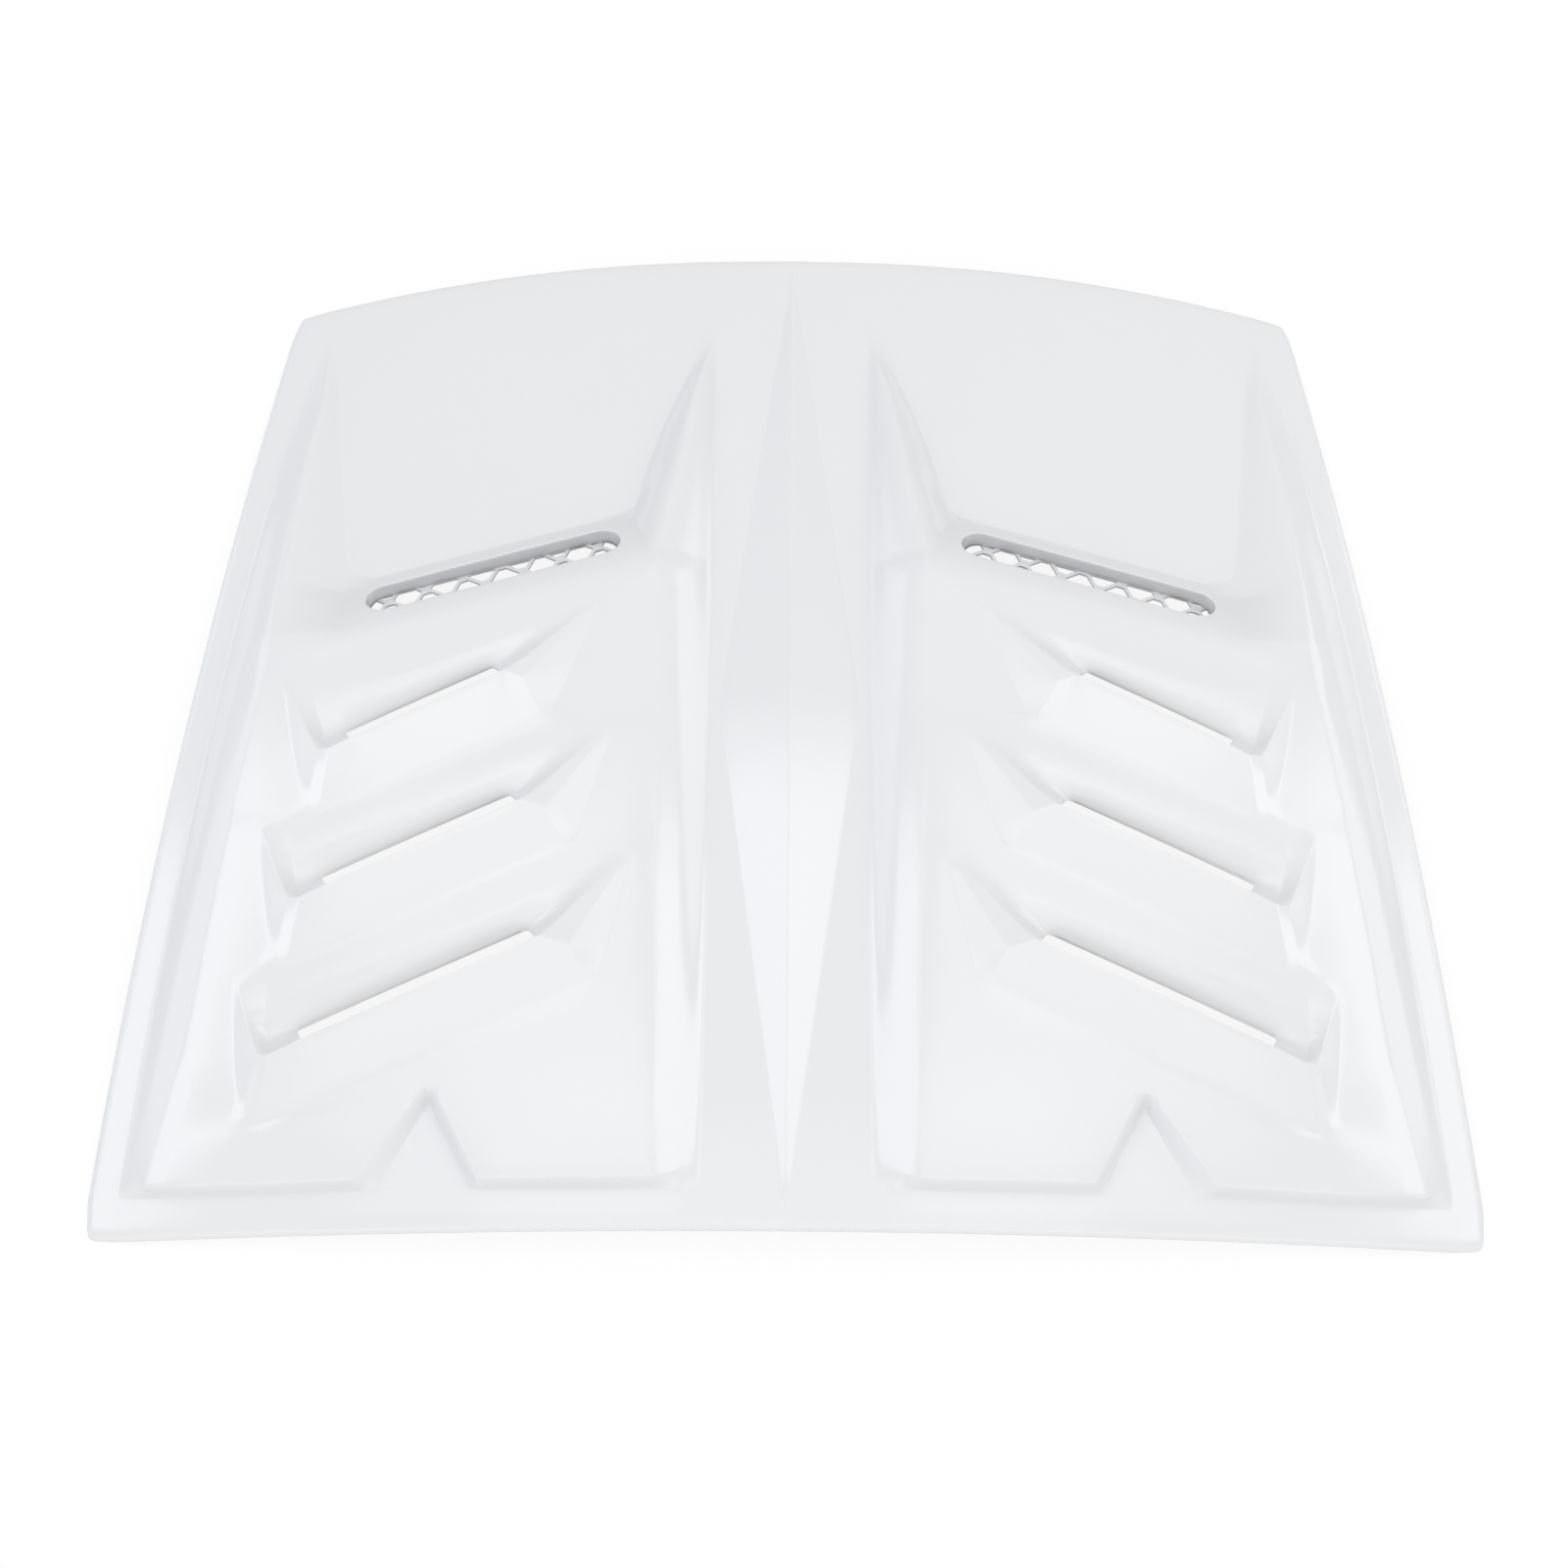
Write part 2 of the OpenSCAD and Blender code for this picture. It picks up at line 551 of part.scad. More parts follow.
// One opening of the mesh: a diamond with blunt ends, drawn inside the strip's own border
module cell(x, y) {
    half_x = cell_pitch / 2 - strand * 1.37;
    half_y = cell_rise - strand * 1.17;
    blunt = 0.27;
    translate([x, y])
        polygon([[-half_x, 0], [-half_x * blunt, half_y], [half_x * blunt, half_y],
                 [half_x, 0], [half_x * blunt, -half_y], [-half_x * blunt, -half_y]]);
}

module cells() {
    columns = ceil(slot_length / cell_pitch) + 1;
    linear_extrude(grille_thickness + 2)
        for (row = [-2 : 2], k = [-columns : columns])
            if ((k + row + 100) % 2 == 1)
                cell(k * cell_pitch / 2, row * cell_rise);
}

module strip(start) {
    translate([slot_across, slot_forward, ring_z - lowest])
        rotate([0, 0, -mouth_sweep])
            rotate([0, atan(ring_drop), 0])
                difference() {
                    obround(slot_half, slot_width / 2 + 2.5, grille_thickness);
                    intersection() {
                        translate([0, 0, 1])
                            obround(slot_half, hole_radius - 0.3, grille_thickness + 2);
                        translate([start, 2.7, -grille_thickness - 1])
                            rotate([0, 0, -mesh_turn])
                                cells();
                    }
                }
}

module right_grille() {
    color([0.86, 0.87, 0.88])
        strip(11);
}

module left_grille() {
    color([0.86, 0.87, 0.88])
        mirror([1, 0, 0])
            strip(7.5);
}

vent_panel();
left_grille();
right_grille();
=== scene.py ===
# %% [markdown]
# A moulded bonnet panel, dressed for its picture
#
# The real object is one large sheet of gloss white plastic, about 3 mm thick, with two raised pods, a long
# faceted spear down the middle, three slanted louvre slots in each pod and a mouth with a mesh strip at the
# front of each pod. There is no paint, print or fixing to see, so all of its looks come from the form: how
# tight each edge is, how softly a flank turns, and how large pale lights slide over the gloss.
#
# The construction model already has the true size and place of everything. Here the shell is drawn again as
# a net of four-sided faces, so that a subdivision surface can round it, and each line of the net is told how
# crisp it has to stay.

# %% Load the construction model
import math

import bpy
import numpy as np
from mathutils import Matrix, Vector


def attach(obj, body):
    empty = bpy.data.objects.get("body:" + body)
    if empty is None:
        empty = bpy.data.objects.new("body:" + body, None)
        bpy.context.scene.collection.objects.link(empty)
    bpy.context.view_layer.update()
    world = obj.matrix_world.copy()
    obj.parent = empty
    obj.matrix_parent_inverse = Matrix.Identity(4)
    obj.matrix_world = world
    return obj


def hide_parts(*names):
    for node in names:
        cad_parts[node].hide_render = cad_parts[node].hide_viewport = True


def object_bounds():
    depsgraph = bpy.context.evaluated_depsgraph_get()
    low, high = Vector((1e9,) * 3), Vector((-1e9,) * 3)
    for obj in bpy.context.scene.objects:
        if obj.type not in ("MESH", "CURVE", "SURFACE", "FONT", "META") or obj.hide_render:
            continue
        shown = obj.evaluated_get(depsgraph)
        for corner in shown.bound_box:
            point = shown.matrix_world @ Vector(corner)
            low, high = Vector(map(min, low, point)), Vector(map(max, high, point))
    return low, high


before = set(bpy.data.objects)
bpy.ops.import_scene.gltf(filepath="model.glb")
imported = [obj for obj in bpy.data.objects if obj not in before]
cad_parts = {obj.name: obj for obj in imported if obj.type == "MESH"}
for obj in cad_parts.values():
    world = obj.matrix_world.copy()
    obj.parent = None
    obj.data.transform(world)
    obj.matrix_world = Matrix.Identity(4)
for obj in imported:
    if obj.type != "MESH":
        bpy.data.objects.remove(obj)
cad_box = [list(corner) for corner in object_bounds()]
print("construction model's box in metres:", cad_box)

# %% [markdown]
# The driving dimensions
#
# All lengths are in millimetres, in the construction model's own frame: X across the car, Y forward, Z up.
# The names and values are those of the construction model, so both describe one panel. Only LIP_REACH and
# LIP_RAISE are new: they bring each louvre's lip a little nearer to the edge that it faces, so that the slot
# looks as narrow as on the real panel. All lengths become metres only when the mesh is made.

# %% Dimensions of the panel
MM = 0.001
REAR_WIDTH = 1100
MIDDLE_WIDTH = 1022
FRONT_WIDTH = 914
LENGTH = 950
FRONT_BOW = 52
REAR_BOW = 5
REAR_CORNER = 18
FRONT_CORNER = 11
WALL = 3
SIDE_CROWN = 26
LENGTH_CROWN = 14
RIM_DEPTH = 5
RIM_ROUND = 5
SIDE_FLANGE = 25
REAR_FLANGE = 32
SPEAR_WIDTH = 119
SPEAR_HEIGHT = 20
SPEAR_END = 15
POD_INNER = 68
POD_REAR_HEIGHT = 12
POD_FRONT_HEIGHT = 29
INNER_FLANK = 40
OUTER_FLANK = 35
REAR_RUN = 4.6

# %% Dimensions of the mouths, louvres and notches
SLOT_ACROSS = 256.5
SLOT_FORWARD = 117
SLOT_LENGTH = 228
SLOT_WIDTH = 34
SLOT_RECESS = 9
MOUTH_SWEEP = math.radians(16)
RAMP_RUN = 71
LIP_HEIGHT = 8
DIP_DEPTH = 8
SLOT_GAP = 18
LOUVRE_PITCH_INNER = 118
LOUVRE_PITCH_OUTER = 135
NOTCH_ACROSS = 283
NOTCH_LENGTH = 70
NOTCH_WIDTH = 76
COLLAR_DRAFT = 1.6
LOUVRES = 3
LIP_REACH = 2
LIP_RAISE = 2

# %% Short helpers
def vec(*values):
    return np.array(values, dtype=float)


def lerp(a, b, t):
    return a + (b - a) * t


def clamp(value, low, high):
    return min(max(value, low), high)


def smooth(t):
    c = clamp(t, 0, 1)
    return c * c * (3 - 2 * c)


def unit(v):
    return v / np.linalg.norm(v)


# %% [markdown]
# The plain panel
#
# Before anything rises from it, the panel is a shallow shield: its sides are a parabola through three
# widths, its front edge bows forward, and its surface is crowned both ways, so the four corners lie at one
# level.

# %% Outline and crown
HALF_REAR = REAR_WIDTH / 2
HALF_MIDDLE = MIDDLE_WIDTH / 2
HALF_FRONT = FRONT_WIDTH / 2
FRONT_EDGE = LENGTH / 2
CORNER_Y = FRONT_EDGE - FRONT_BOW


def side_x(y):
    a, b, c = y + FRONT_EDGE, y, y - CORNER_Y
    return (
        HALF_REAR * b * c / (FRONT_EDGE * (FRONT_EDGE + CORNER_Y))
        - HALF_MIDDLE * a * c / (FRONT_EDGE * CORNER_Y)
        + HALF_FRONT * a * b / ((CORNER_Y + FRONT_EDGE) * CORNER_Y)
    )


def front_y(x):
    return FRONT_EDGE - FRONT_BOW * (abs(x) / HALF_FRONT) ** 2.3


def rear_y(x):
    return -FRONT_EDGE - REAR_BOW * (x / HALF_REAR) ** 2


def base_z(x, y):
    u = x / side_x(y)
    v = y / front_y(x) if y > 0 else y / rear_y(x)
    return SIDE_CROWN * (1 - u * u) + LENGTH_CROWN * (1 - v * v)


# %% Height and plan lines of a pod
POD_REAR = -FRONT_EDGE + REAR_FLANGE + REAR_RUN
LIP_Y = SLOT_FORWARD - 40


def pod_h(y):
    return lerp(POD_REAR_HEIGHT, POD_FRONT_HEIGHT, clamp((y - POD_REAR) / (LIP_Y - POD_REAR), 0, 1.1))


def inner_crest_x(y):
    return POD_INNER + INNER_FLANK - 4 + 8 * smooth((y - POD_REAR) / (LIP_Y - POD_REAR))


def outer_crest_x(y):
    return side_x(y) - SIDE_FLANGE - OUTER_FLANK


# %% [markdown]
# The net
#
# The net has 50 rows and, on each half, 25 columns. A row or a column always follows the same feature: one
# column is the crest of the pod's inner flank, another the ridge of the louvres' facets, and one row of each
# louvre is its lip. A crease in the plastic is then a line of the net, and never crosses a face.

# %% Names of the columns and rows
FOOT, FLANK, CREST, SOFT, FACET = 2, 3, 4, 5, 6
FACET_TOP, RIDGE, SLOT_IN, SLOT_OUT = 7, 8, 9, 14
STRIP_IN, STRIP_OUT, OUTER_FACET, OUTER_SOFT = 15, 16, 17, 18
OUTER_CREST, OUTER_MIDDLE, OUTER_FOOT, RIM, EDGE = 19, 20, 21, 22, 24
REAR_FOOT, REAR_TOP, NOTCH_POINT = 3, 4, 6
FIRST_LOUVRE, LOUVRE_ROWS = 8, 7
HEEL, LIP_ROW, FAR_EDGE, TIPS = 0, 2, 3, 6
POD_FRONT = FIRST_LOUVRE + LOUVRES * LOUVRE_ROWS
LIP = POD_FRONT + 1
RAMP = LIP + 1
SLOT_REAR = RAMP + 1
SLOT_FRONT = SLOT_REAR + 6
FLOOR = SLOT_FRONT + 1
HORN_ROWS = 6
HORN_TIP = FLOOR + HORN_ROWS
FRONT = HORN_TIP + 4
print("rows:", FRONT + 1, "columns:", 2 * EDGE + 1)


def flat_at(x, y):
    return vec(x, y, 0)


def top_at(p, extra=0.0):
    return vec(p[0], p[1], pod_h(p[1]) + extra)


# %% [markdown]
# Washer notches
#
# A wedge is cut from each pod's rear wall so that a washer jet on the bonnet stays clear. Its floor is the
# plain panel. The inboard wall is steep and the outboard wall leans.

# %% Rows through the rear wall and the notch
def notch_x(side, y, floor):
    t = clamp((POD_REAR - REAR_RUN + NOTCH_LENGTH - y) / NOTCH_LENGTH, 0, 1)
    half = lerp(1.5, NOTCH_WIDTH / 2, t)
    wall_run = 0 if floor else 6 if side < 0 else 6 + 12 * t
    return NOTCH_ACROSS + side * (half + wall_run)


def notch_row(y, y_out, top, notched):
    height = pod_h(y) if top else 0
    notch = [notch_x(-1, y, False), notch_x(-1, y, True), notch_x(1, y, True), notch_x(1, y, False)]
    xs = [128, 140, 168, 200] + notch + [386, 414, 428, 442]
    return [
        vec(x, lerp(y, y_out, clamp((k - 7) / 1.5, 0, 1)), 0 if notched and k in (5, 6) else height)
        for k, x in enumerate(xs)
    ]


# %% [markdown]
# Louvres
#
# Each louvre is a low wedge that rises forward to a lip. In front of the lip is a slot, and beyond the slot
# the pod's top dips to meet it. A triangular facet closes the wedge at its inner end, a narrow strip and a
# second facet at its outer end. The three louvres are one drawing that moves by a fixed step each time.

# %% Corner points of a louvre
def louvre_in(x, y, step, lag, n):
    return vec(x - step * n, y - (LOUVRE_PITCH_INNER + lag) * n)


def louvre_out(x, y, step, n):
    return vec(x + step * n, y - LOUVRE_PITCH_OUTER * n)


def tip_in(n):
    return louvre_in(162, 72, 17, 0, n)


def tip_out(n):
    return louvre_out(429, 2, 9, n)


def lip_in(n):
    return louvre_in(242, -2, 20, 3, n)


def lip_out(n):
    return louvre_out(381, -70, 14, n)


def corner_in(n):
    return louvre_in(224, -5, 24, 4, n)


def heel_in(n):
    return louvre_in(199, -37, 24, -1, n)


def heel_out(n):
    return louvre_out(387, -124, 16, n)


# %% Rows of one louvre
def dip_h(q):
    return -DIP_DEPTH * (1 - math.sin(math.radians(90 * q))) ** 1.6


def ahead(n):
    d = unit(lip_out(n) - lip_in(n))
    return vec(-d[1], d[0]) * SLOT_GAP


def louvre_row(n, r):
    heel, heel_o, tip, tip_o = heel_in(n), heel_out(n), tip_in(n), tip_out(n)
    foot_o = heel_o + vec(13, 4)
    edge_o = lip_out(n) + vec(11, 1)
    line = [lerp(lip_in(n), lip_out(n), t * 0.88) for t in (0, 0.2, 0.4, 0.6, 0.8, 1)]
    if r == HEEL:
        heel_line = [lerp(heel, heel_o, t) for t in (0.12, 0.23, 0.36, 0.49, 0.62, 0.75, 0.88)]
        ends = [heel_o, heel_o + vec(10, 3), foot_o]
        return [top_at(p) for p in [heel, lerp(heel, heel_o, 0.03)] + heel_line + ends]
    if r == 1:
        return [lerp(a, b, 0.5) for a, b in zip(louvre_row(n, HEEL), louvre_row(n, LIP_ROW))]
    if r == LIP_ROW:
        reach, height = ahead(n) * LIP_REACH / SLOT_GAP, LIP_HEIGHT + LIP_RAISE
        return (
            [top_at(lerp(heel, tip, 0.3)), top_at(corner_in(n), LIP_HEIGHT)]
            + [top_at(line[0] + vec(-3, 1.5) + reach * 0.8, height - 0.5)]
            + [top_at(p + reach, height) for p in line]
            + [top_at(lip_out(n) + reach * 0.8, height - 1), top_at(edge_o, LIP_HEIGHT * 0.75)]
            + [top_at(lerp(foot_o, tip_o, 0.42))]
        )
    return louvre_front_row(n, r, line, foot_o, edge_o)


def louvre_front_row(n, r, line, foot_o, edge_o):
    heel, tip, tip_o = heel_in(n), tip_in(n), tip_out(n)
    q = [0, 0.4, 0.75, 1][r - FAR_EDGE]
    ridge = [0.2, 0.48, 0.78, 1][r - FAR_EDGE]
    along_facet = [0.48, 0.68, 0.87, 1][r - FAR_EDGE]
    dip_line = [p + ahead(n) for p in line]
    tip_line = [
        lerp(tip, tip_o, t) - vec(0, 17 * math.sin(math.pi * t**1.5))
        for t in (0.1, 0.24, 0.38, 0.52, 0.66, 0.8, 0.91)
    ]
    return (
        [top_at(lerp(heel, tip, along_facet))]
        + [top_at(lerp(corner_in(n), tip + vec(3, -1), ridge), LIP_HEIGHT * 0.9 * (1 - ridge))]
        + [top_at(lerp(line[0] + vec(-3, 1.5), tip + vec(8, -3), ridge), LIP_HEIGHT * (1 - ridge))]
        + [top_at(lerp(a, b, q), dip_h(q)) for a, b in zip(dip_line, tip_line)]
        + [top_at(lerp(lip_out(n) + ahead(n) * 0.9, tip_line[6], q), dip_h(q) * 0.8)]
        + [top_at(lerp(edge_o, tip_o + vec(-3, -1), ridge), LIP_HEIGHT * 0.7 * (1 - ridge))]
        + [top_at(lerp(foot_o, tip_o, lerp(0.52, 1, (r - FAR_EDGE) / 3)))]
    )


# %% [markdown]
# Mouths and horns
#
# At the front of a pod the surface falls from a lip down a ramp to a flat floor. The slot for the mesh is
# cut in the ramp and has a drafted collar that runs down to one flat ring. On each side the pod's flank runs
# on forward as a horn that thins out to a point.

# %% Ramp and slot
ALONG = vec(math.cos(MOUTH_SWEEP), -math.sin(MOUTH_SWEEP))
ACROSS = vec(math.sin(MOUTH_SWEEP), math.cos(MOUTH_SWEEP))
SLOT_MID = vec(SLOT_ACROSS, SLOT_FORWARD)
SLOT_HALF = SLOT_LENGTH / 2 - SLOT_WIDTH / 2
FLOOR_N = SLOT_WIDTH / 2 + 14
HOLE_RADIUS = SLOT_WIDTH / 2 - COLLAR_DRAFT
RING_DROP = (
    base_z(SLOT_ACROSS - 100, SLOT_FORWARD + 28) - base_z(SLOT_ACROSS + 100, SLOT_FORWARD - 28)
) / 208
RING_Z = base_z(SLOT_ACROSS, SLOT_FORWARD) - SLOT_RECESS


def at_slot(s, n):
    return SLOT_MID + ALONG * s + ACROSS * n


def ramp_h(p):
    n = (FLOOR_N - (p - SLOT_MID) @ ACROSS) / RAMP_RUN
    return POD_FRONT_HEIGHT * (1 - (1 - clamp(n, 0, 1)) ** 1.3)


def ramp_at(p):
    return vec(p[0], p[1], ramp_h(p))


def ring_level(p):
    return RING_Z - RING_DROP * ((p - SLOT_MID) @ ALONG)


def end_point(side, radius, angle):
    turn = math.radians(angle)
    return at_slot(side * (SLOT_HALF + radius * math.cos(turn)), radius * math.sin(turn))


# %% Rows through the mouth
def slot_row(r):
    rim_angle = [-90, -78, -42, 0, 42, 78, 90][r]
    ring_angle = clamp(-90 + 45 * (r - 1), -90, 90)
    is_open = 0 < r < 6
    a, b = end_point(-1, SLOT_WIDTH / 2, rim_angle), end_point(1, SLOT_WIDTH / 2, rim_angle)
    if is_open:
        c, d = end_point(-1, HOLE_RADIUS, ring_angle), end_point(1, HOLE_RADIUS, ring_angle)
    else:
        n = SLOT_WIDTH / 2 * (-1 if r == 0 else 1)
        c, d = at_slot(-SLOT_HALF + 4, n), at_slot(SLOT_HALF - 4, n)
    ring = [lerp(c, d, t) for t in (0, 0.33, 0.67, 1)]
    inner = [vec(p[0], p[1], ring_level(p) - base_z(*p)) if is_open else ramp_at(p) for p in ring]
    return [ramp_at(a)] + inner + [ramp_at(b)]


def mouth_row(middle, n):
    a, b = middle[0][:2], middle[5][:2]
    facet = at_slot(-SLOT_LENGTH / 2 - 17, n)
    outer = at_slot(SLOT_LENGTH / 2 + 32 - 14 * smooth((n + 15) / 44), n - 2)
    inner_end = [ramp_at(facet), ramp_at(lerp(facet, a, 0.25)), ramp_at(lerp(facet, a, 0.5))]
    outer_end = [ramp_at(lerp(b, outer, 0.5)), ramp_at(lerp(b, outer, 0.75)), ramp_at(outer)]
    return inner_end + middle + outer_end


def straight_row(n, half):
    return [ramp_at(at_slot(t * half, n)) for t in (-1, -0.94, -0.33, 0.33, 0.94, 1)]


def floor_row():
    middle = [flat_at(p[0], p[1]) for p in straight_row(FLOOR_N, SLOT_HALF + 4)]
    inner_end = [flat_at(134, 199), flat_at(136.5, 190), flat_at(144, 183)]
    return inner_end + middle + [flat_at(371, 121.5), flat_at(382, 124.5), flat_at(388, 135)]


# %% Rows between the horns
HORN_TIP_IN = vec(80, 348)
HORN_TIP_OUT = vec(426, 380)


def horn_row(t):
    a = vec(lerp(134, HORN_TIP_IN[0] + 9, t**1.25), lerp(199, HORN_TIP_IN[1], t))
    b = vec(lerp(388, HORN_TIP_OUT[0] - 9, t), lerp(135, HORN_TIP_OUT[1], t))
    return [flat_at(*lerp(a, b, k / 11)) for k in range(12)]


# %% [markdown]
# One whole row
#
# The twelve middle columns come from the feature that the row crosses. The columns towards the middle of
# the car carry the spear and the pod's inner flank, and those towards the side carry the outer flank and
# the rim.

# %% The middle twelve points of each row
def middle_part(i):
    rear = POD_REAR - REAR_RUN
    if i <= REAR_FOOT:
        return notch_row(rear, rear - 3, False, False)
    if i == REAR_TOP:
        return notch_row(POD_REAR, POD_REAR - 3, True, True)
    if i == NOTCH_POINT - 1:
        return notch_row(POD_REAR + NOTCH_LENGTH * 0.45, lerp(POD_REAR, heel_out(2)[1], 0.35), True, True)
    if i == NOTCH_POINT:
        return notch_row(rear + NOTCH_LENGTH, lerp(POD_REAR, heel_out(2)[1], 0.65), True, True)
    if i == NOTCH_POINT + 1:
        return notch_row(POD_REAR + NOTCH_LENGTH + 3, lerp(POD_REAR, heel_out(2)[1], 0.85), True, False)
    if i < POD_FRONT:
        step = i - FIRST_LOUVRE
        return louvre_row(LOUVRES - 1 - step // LOUVRE_ROWS, step % LOUVRE_ROWS)
    if i == POD_FRONT:
        return [top_at(lerp(a, b, 0.5)) for a, b in zip(louvre_row(0, TIPS), middle_part(LIP))]
    if i == LIP:
        return mouth_row(straight_row(FLOOR_N - RAMP_RUN, SLOT_HALF + 6), FLOOR_N - RAMP_RUN)
    if i == RAMP:
        return mouth_row(straight_row(-SLOT_WIDTH / 2 - 11, SLOT_HALF + 3), -SLOT_WIDTH / 2 - 11)
    if i <= SLOT_FRONT:
        return mouth_row(slot_row(i - SLOT_REAR), [-26, -20, -10, 0, 10, 22, 29][i - SLOT_REAR])
    if i == FLOOR:
        return floor_row()
    if i <= HORN_TIP:
        return horn_row((i - FLOOR) / HORN_ROWS)
    if i == HORN_TIP + 1:
        return [flat_at(p[0], lerp(p[1], front_y(p[0]) - RIM_ROUND, 0.5)) for p in horn_row(1)]
    inset = [RIM_ROUND, 1.5, 0][i - HORN_TIP - 2]
    return [flat_at(p[0], front_y(p[0]) - inset) for p in horn_row(1)]


# %% Where a row meets the spear
SPEAR_ROW = FIRST_LOUVRE + 2 * LOUVRE_ROWS + 2
SPEAR_Y = -14
RIM_INSETS = [0, 1.5, RIM_ROUND]


def middle_y(i):
    if i < 3:
        return -FRONT_EDGE + RIM_INSETS[i]
    if i > FRONT - 3:
        return FRONT_EDGE - RIM_INSETS[FRONT - i]
    if i <= SPEAR_ROW:
        return lerp(POD_REAR - REAR_RUN, SPEAR_Y, (i - 3) / (SPEAR_ROW - 3))
    return lerp(SPEAR_Y, FRONT_EDGE - SPEAR_END, (i - SPEAR_ROW) / (FRONT - 3 - SPEAR_ROW))


def spear_share(y):
    reach = FRONT_EDGE - SPEAR_END
    return 1 - ((SPEAR_Y - y) / (SPEAR_Y + reach) if y < SPEAR_Y else (y - SPEAR_Y) / (reach - SPEAR_Y))


def horn_share(y, start, end):
    return clamp((end - y) / (end - start), 0, 1) ** 0.85


# %% The columns towards the middle of the car
def inner_columns(i, a):
    y0 = middle_y(i)
    bare = i <= REAR_FOOT or i > HORN_TIP
    t_in = clamp((a[1] - LIP_Y - 40) / (HORN_TIP_IN[1] - LIP_Y - 40), 0, 1)
    horn_x = lerp(POD_INNER + INNER_FLANK + 4, HORN_TIP_IN[0], t_in**1.1)
    crest_x = inner_crest_x(a[1]) if i <= FLOOR - 8 else horn_x
    foot_x = lerp(POD_INNER, HORN_TIP_IN[0] - 10, smooth((t_in - 0.6) / 0.4))
    crest_h = 0
    if not bare:
        share = horn_share(a[1], LIP_Y + 30, HORN_TIP_IN[1]) ** 0.65
        crest_h = pod_h(a[1]) if i <= LIP else POD_FRONT_HEIGHT * share
    softness = smooth((a[1] - POD_REAR) / 300)
    apart = 0
    if FIRST_LOUVRE <= i < POD_FRONT:
        apart = [10, 7, 2, 0, 0, 3, 8][(i - FIRST_LOUVRE) % LOUVRE_ROWS]
    y_crest = lerp(a[1], y0, 0.1) + apart
    y_foot = lerp(a[1], y0, 0.45)
    rim = i < 3 or i > FRONT - 3
    soft_h = crest_h if i <= LIP else lerp(crest_h, a[2], 0.42 if FLOOR < i <= HORN_TIP else 0.3)
    return [
        vec(0, y0, 0 if rim else SPEAR_HEIGHT * max(0, spear_share(y0))),
        vec(max(SPEAR_WIDTH / 2 * spear_share(y0), 3), y0, 0),
        vec(foot_x, y_foot, 0),
        vec(lerp(foot_x, crest_x, 0.5), lerp(y_foot, y_crest, 0.5), crest_h * lerp(0.5, 0.62, softness)),
        vec(crest_x, y_crest, crest_h * lerp(1, 0.94, softness)),
        vec(lerp(crest_x, a[0], 0.45), lerp(y_crest, a[1], 0.45), soft_h),
    ]


# %% The columns towards the side of the car
def outer_columns(i, b):
    y = b[1]
    bare = i <= REAR_FOOT or i > HORN_TIP
    t_out = clamp((y - 250) / (HORN_TIP_OUT[1] - 250), 0, 1)
    side = side_x(y)
    crest = lerp(outer_crest_x(y) + 10 * smooth((y - 60) / 220), HORN_TIP_OUT[0] - 1, t_out**2)
    middle = lerp(side - SIDE_FLANGE - 16, HORN_TIP_OUT[0], t_out**1.7)
    foot = lerp(side - SIDE_FLANGE, HORN_TIP_OUT[0] + 3, t_out**2)
    height = 0
    if not bare:
        height = pod_h(y) if i <= LIP else POD_FRONT_HEIGHT * horn_share(y, LIP_Y - 40, HORN_TIP_OUT[1])
    sliver = clamp((-330 - y) / 110, 0, 1) if REAR_FOOT < i < POD_FRONT else 0
    on_pod = lerp(lerp(b[0], crest, 0.72), crest - 2, sliver)
    soft = on_pod if i < POD_FRONT else lerp(b[0], crest, 0.6)
    return [
        vec(soft, y, height if i <= LIP else lerp(b[2], height, 0.62)),
        vec(crest + 15 * sliver, y, height * lerp(0.92, 0.8, sliver)),
        vec(lerp(middle, side - SIDE_FLANGE - 9, sliver), y, height * lerp(0.55, 0.36, sliver)),
        vec(foot, y, 0),
        vec(side - RIM_ROUND, y, 0),
        vec(side - 1.5, y, 0),
        vec(side, y, 0),
    ]


def half_row(i):
    middle = middle_part(i)
    return inner_columns(i, middle[0]) + middle + outer_columns(i, middle[11])


# %% [markdown]
# Rim and corners
#
# All round, the last 5 mm of the sheet turn down to a narrow rim. The four corners are rounded in plan by
# squeezing the net inside each corner's square onto its arc.

# %% Round the corners and turn the rim down
def round_corner(p, rear):
    r = REAR_CORNER if rear else FRONT_CORNER
    edge_y = rear_y(p[0]) if rear else front_y(p[0])
    sign = -1 if rear else 1
    cx, cy = side_x(p[1]) - r, edge_y - sign * r
    u, v = (p[0] - cx) / r, (p[1] - cy) / r * sign
    if u <= 0 or v <= 0:
        return p
    return vec(cx + r * u * math.sqrt(1 - v * v / 2), cy + sign * r * v * math.sqrt(1 - u * u / 2), p[2])


def rim_drop(i, j):
    k = min(i, FRONT - i, EDGE - j)
    return 0 if k > 1 else 1.5 if k == 1 else RIM_DEPTH


def surface_point(i, j, p):
    if i < 3:
        p = vec(p[0], rear_y(p[0]) + RIM_INSETS[i], p[2])
    elif i > FRONT - 3:
        p = vec(p[0], front_y(p[0]) - RIM_INSETS[FRONT - i], p[2])
    if i < 8 or i > HORN_TIP:
        p = round_corner(p, i < 8)
    return vec(p[0], p[1], base_z(p[0], p[1]) + p[2] - rim_drop(i, j))


half_net = np.array([[surface_point(i, j, p) for j, p in enumerate(half_row(i))] for i in range(FRONT + 1)])
LOWEST = half_net[:, :, 2].min()
half_net[:, :, 2] -= LOWEST
print("net's highest point:", round(float(half_net[:, :, 2].max()), 1), "mm")

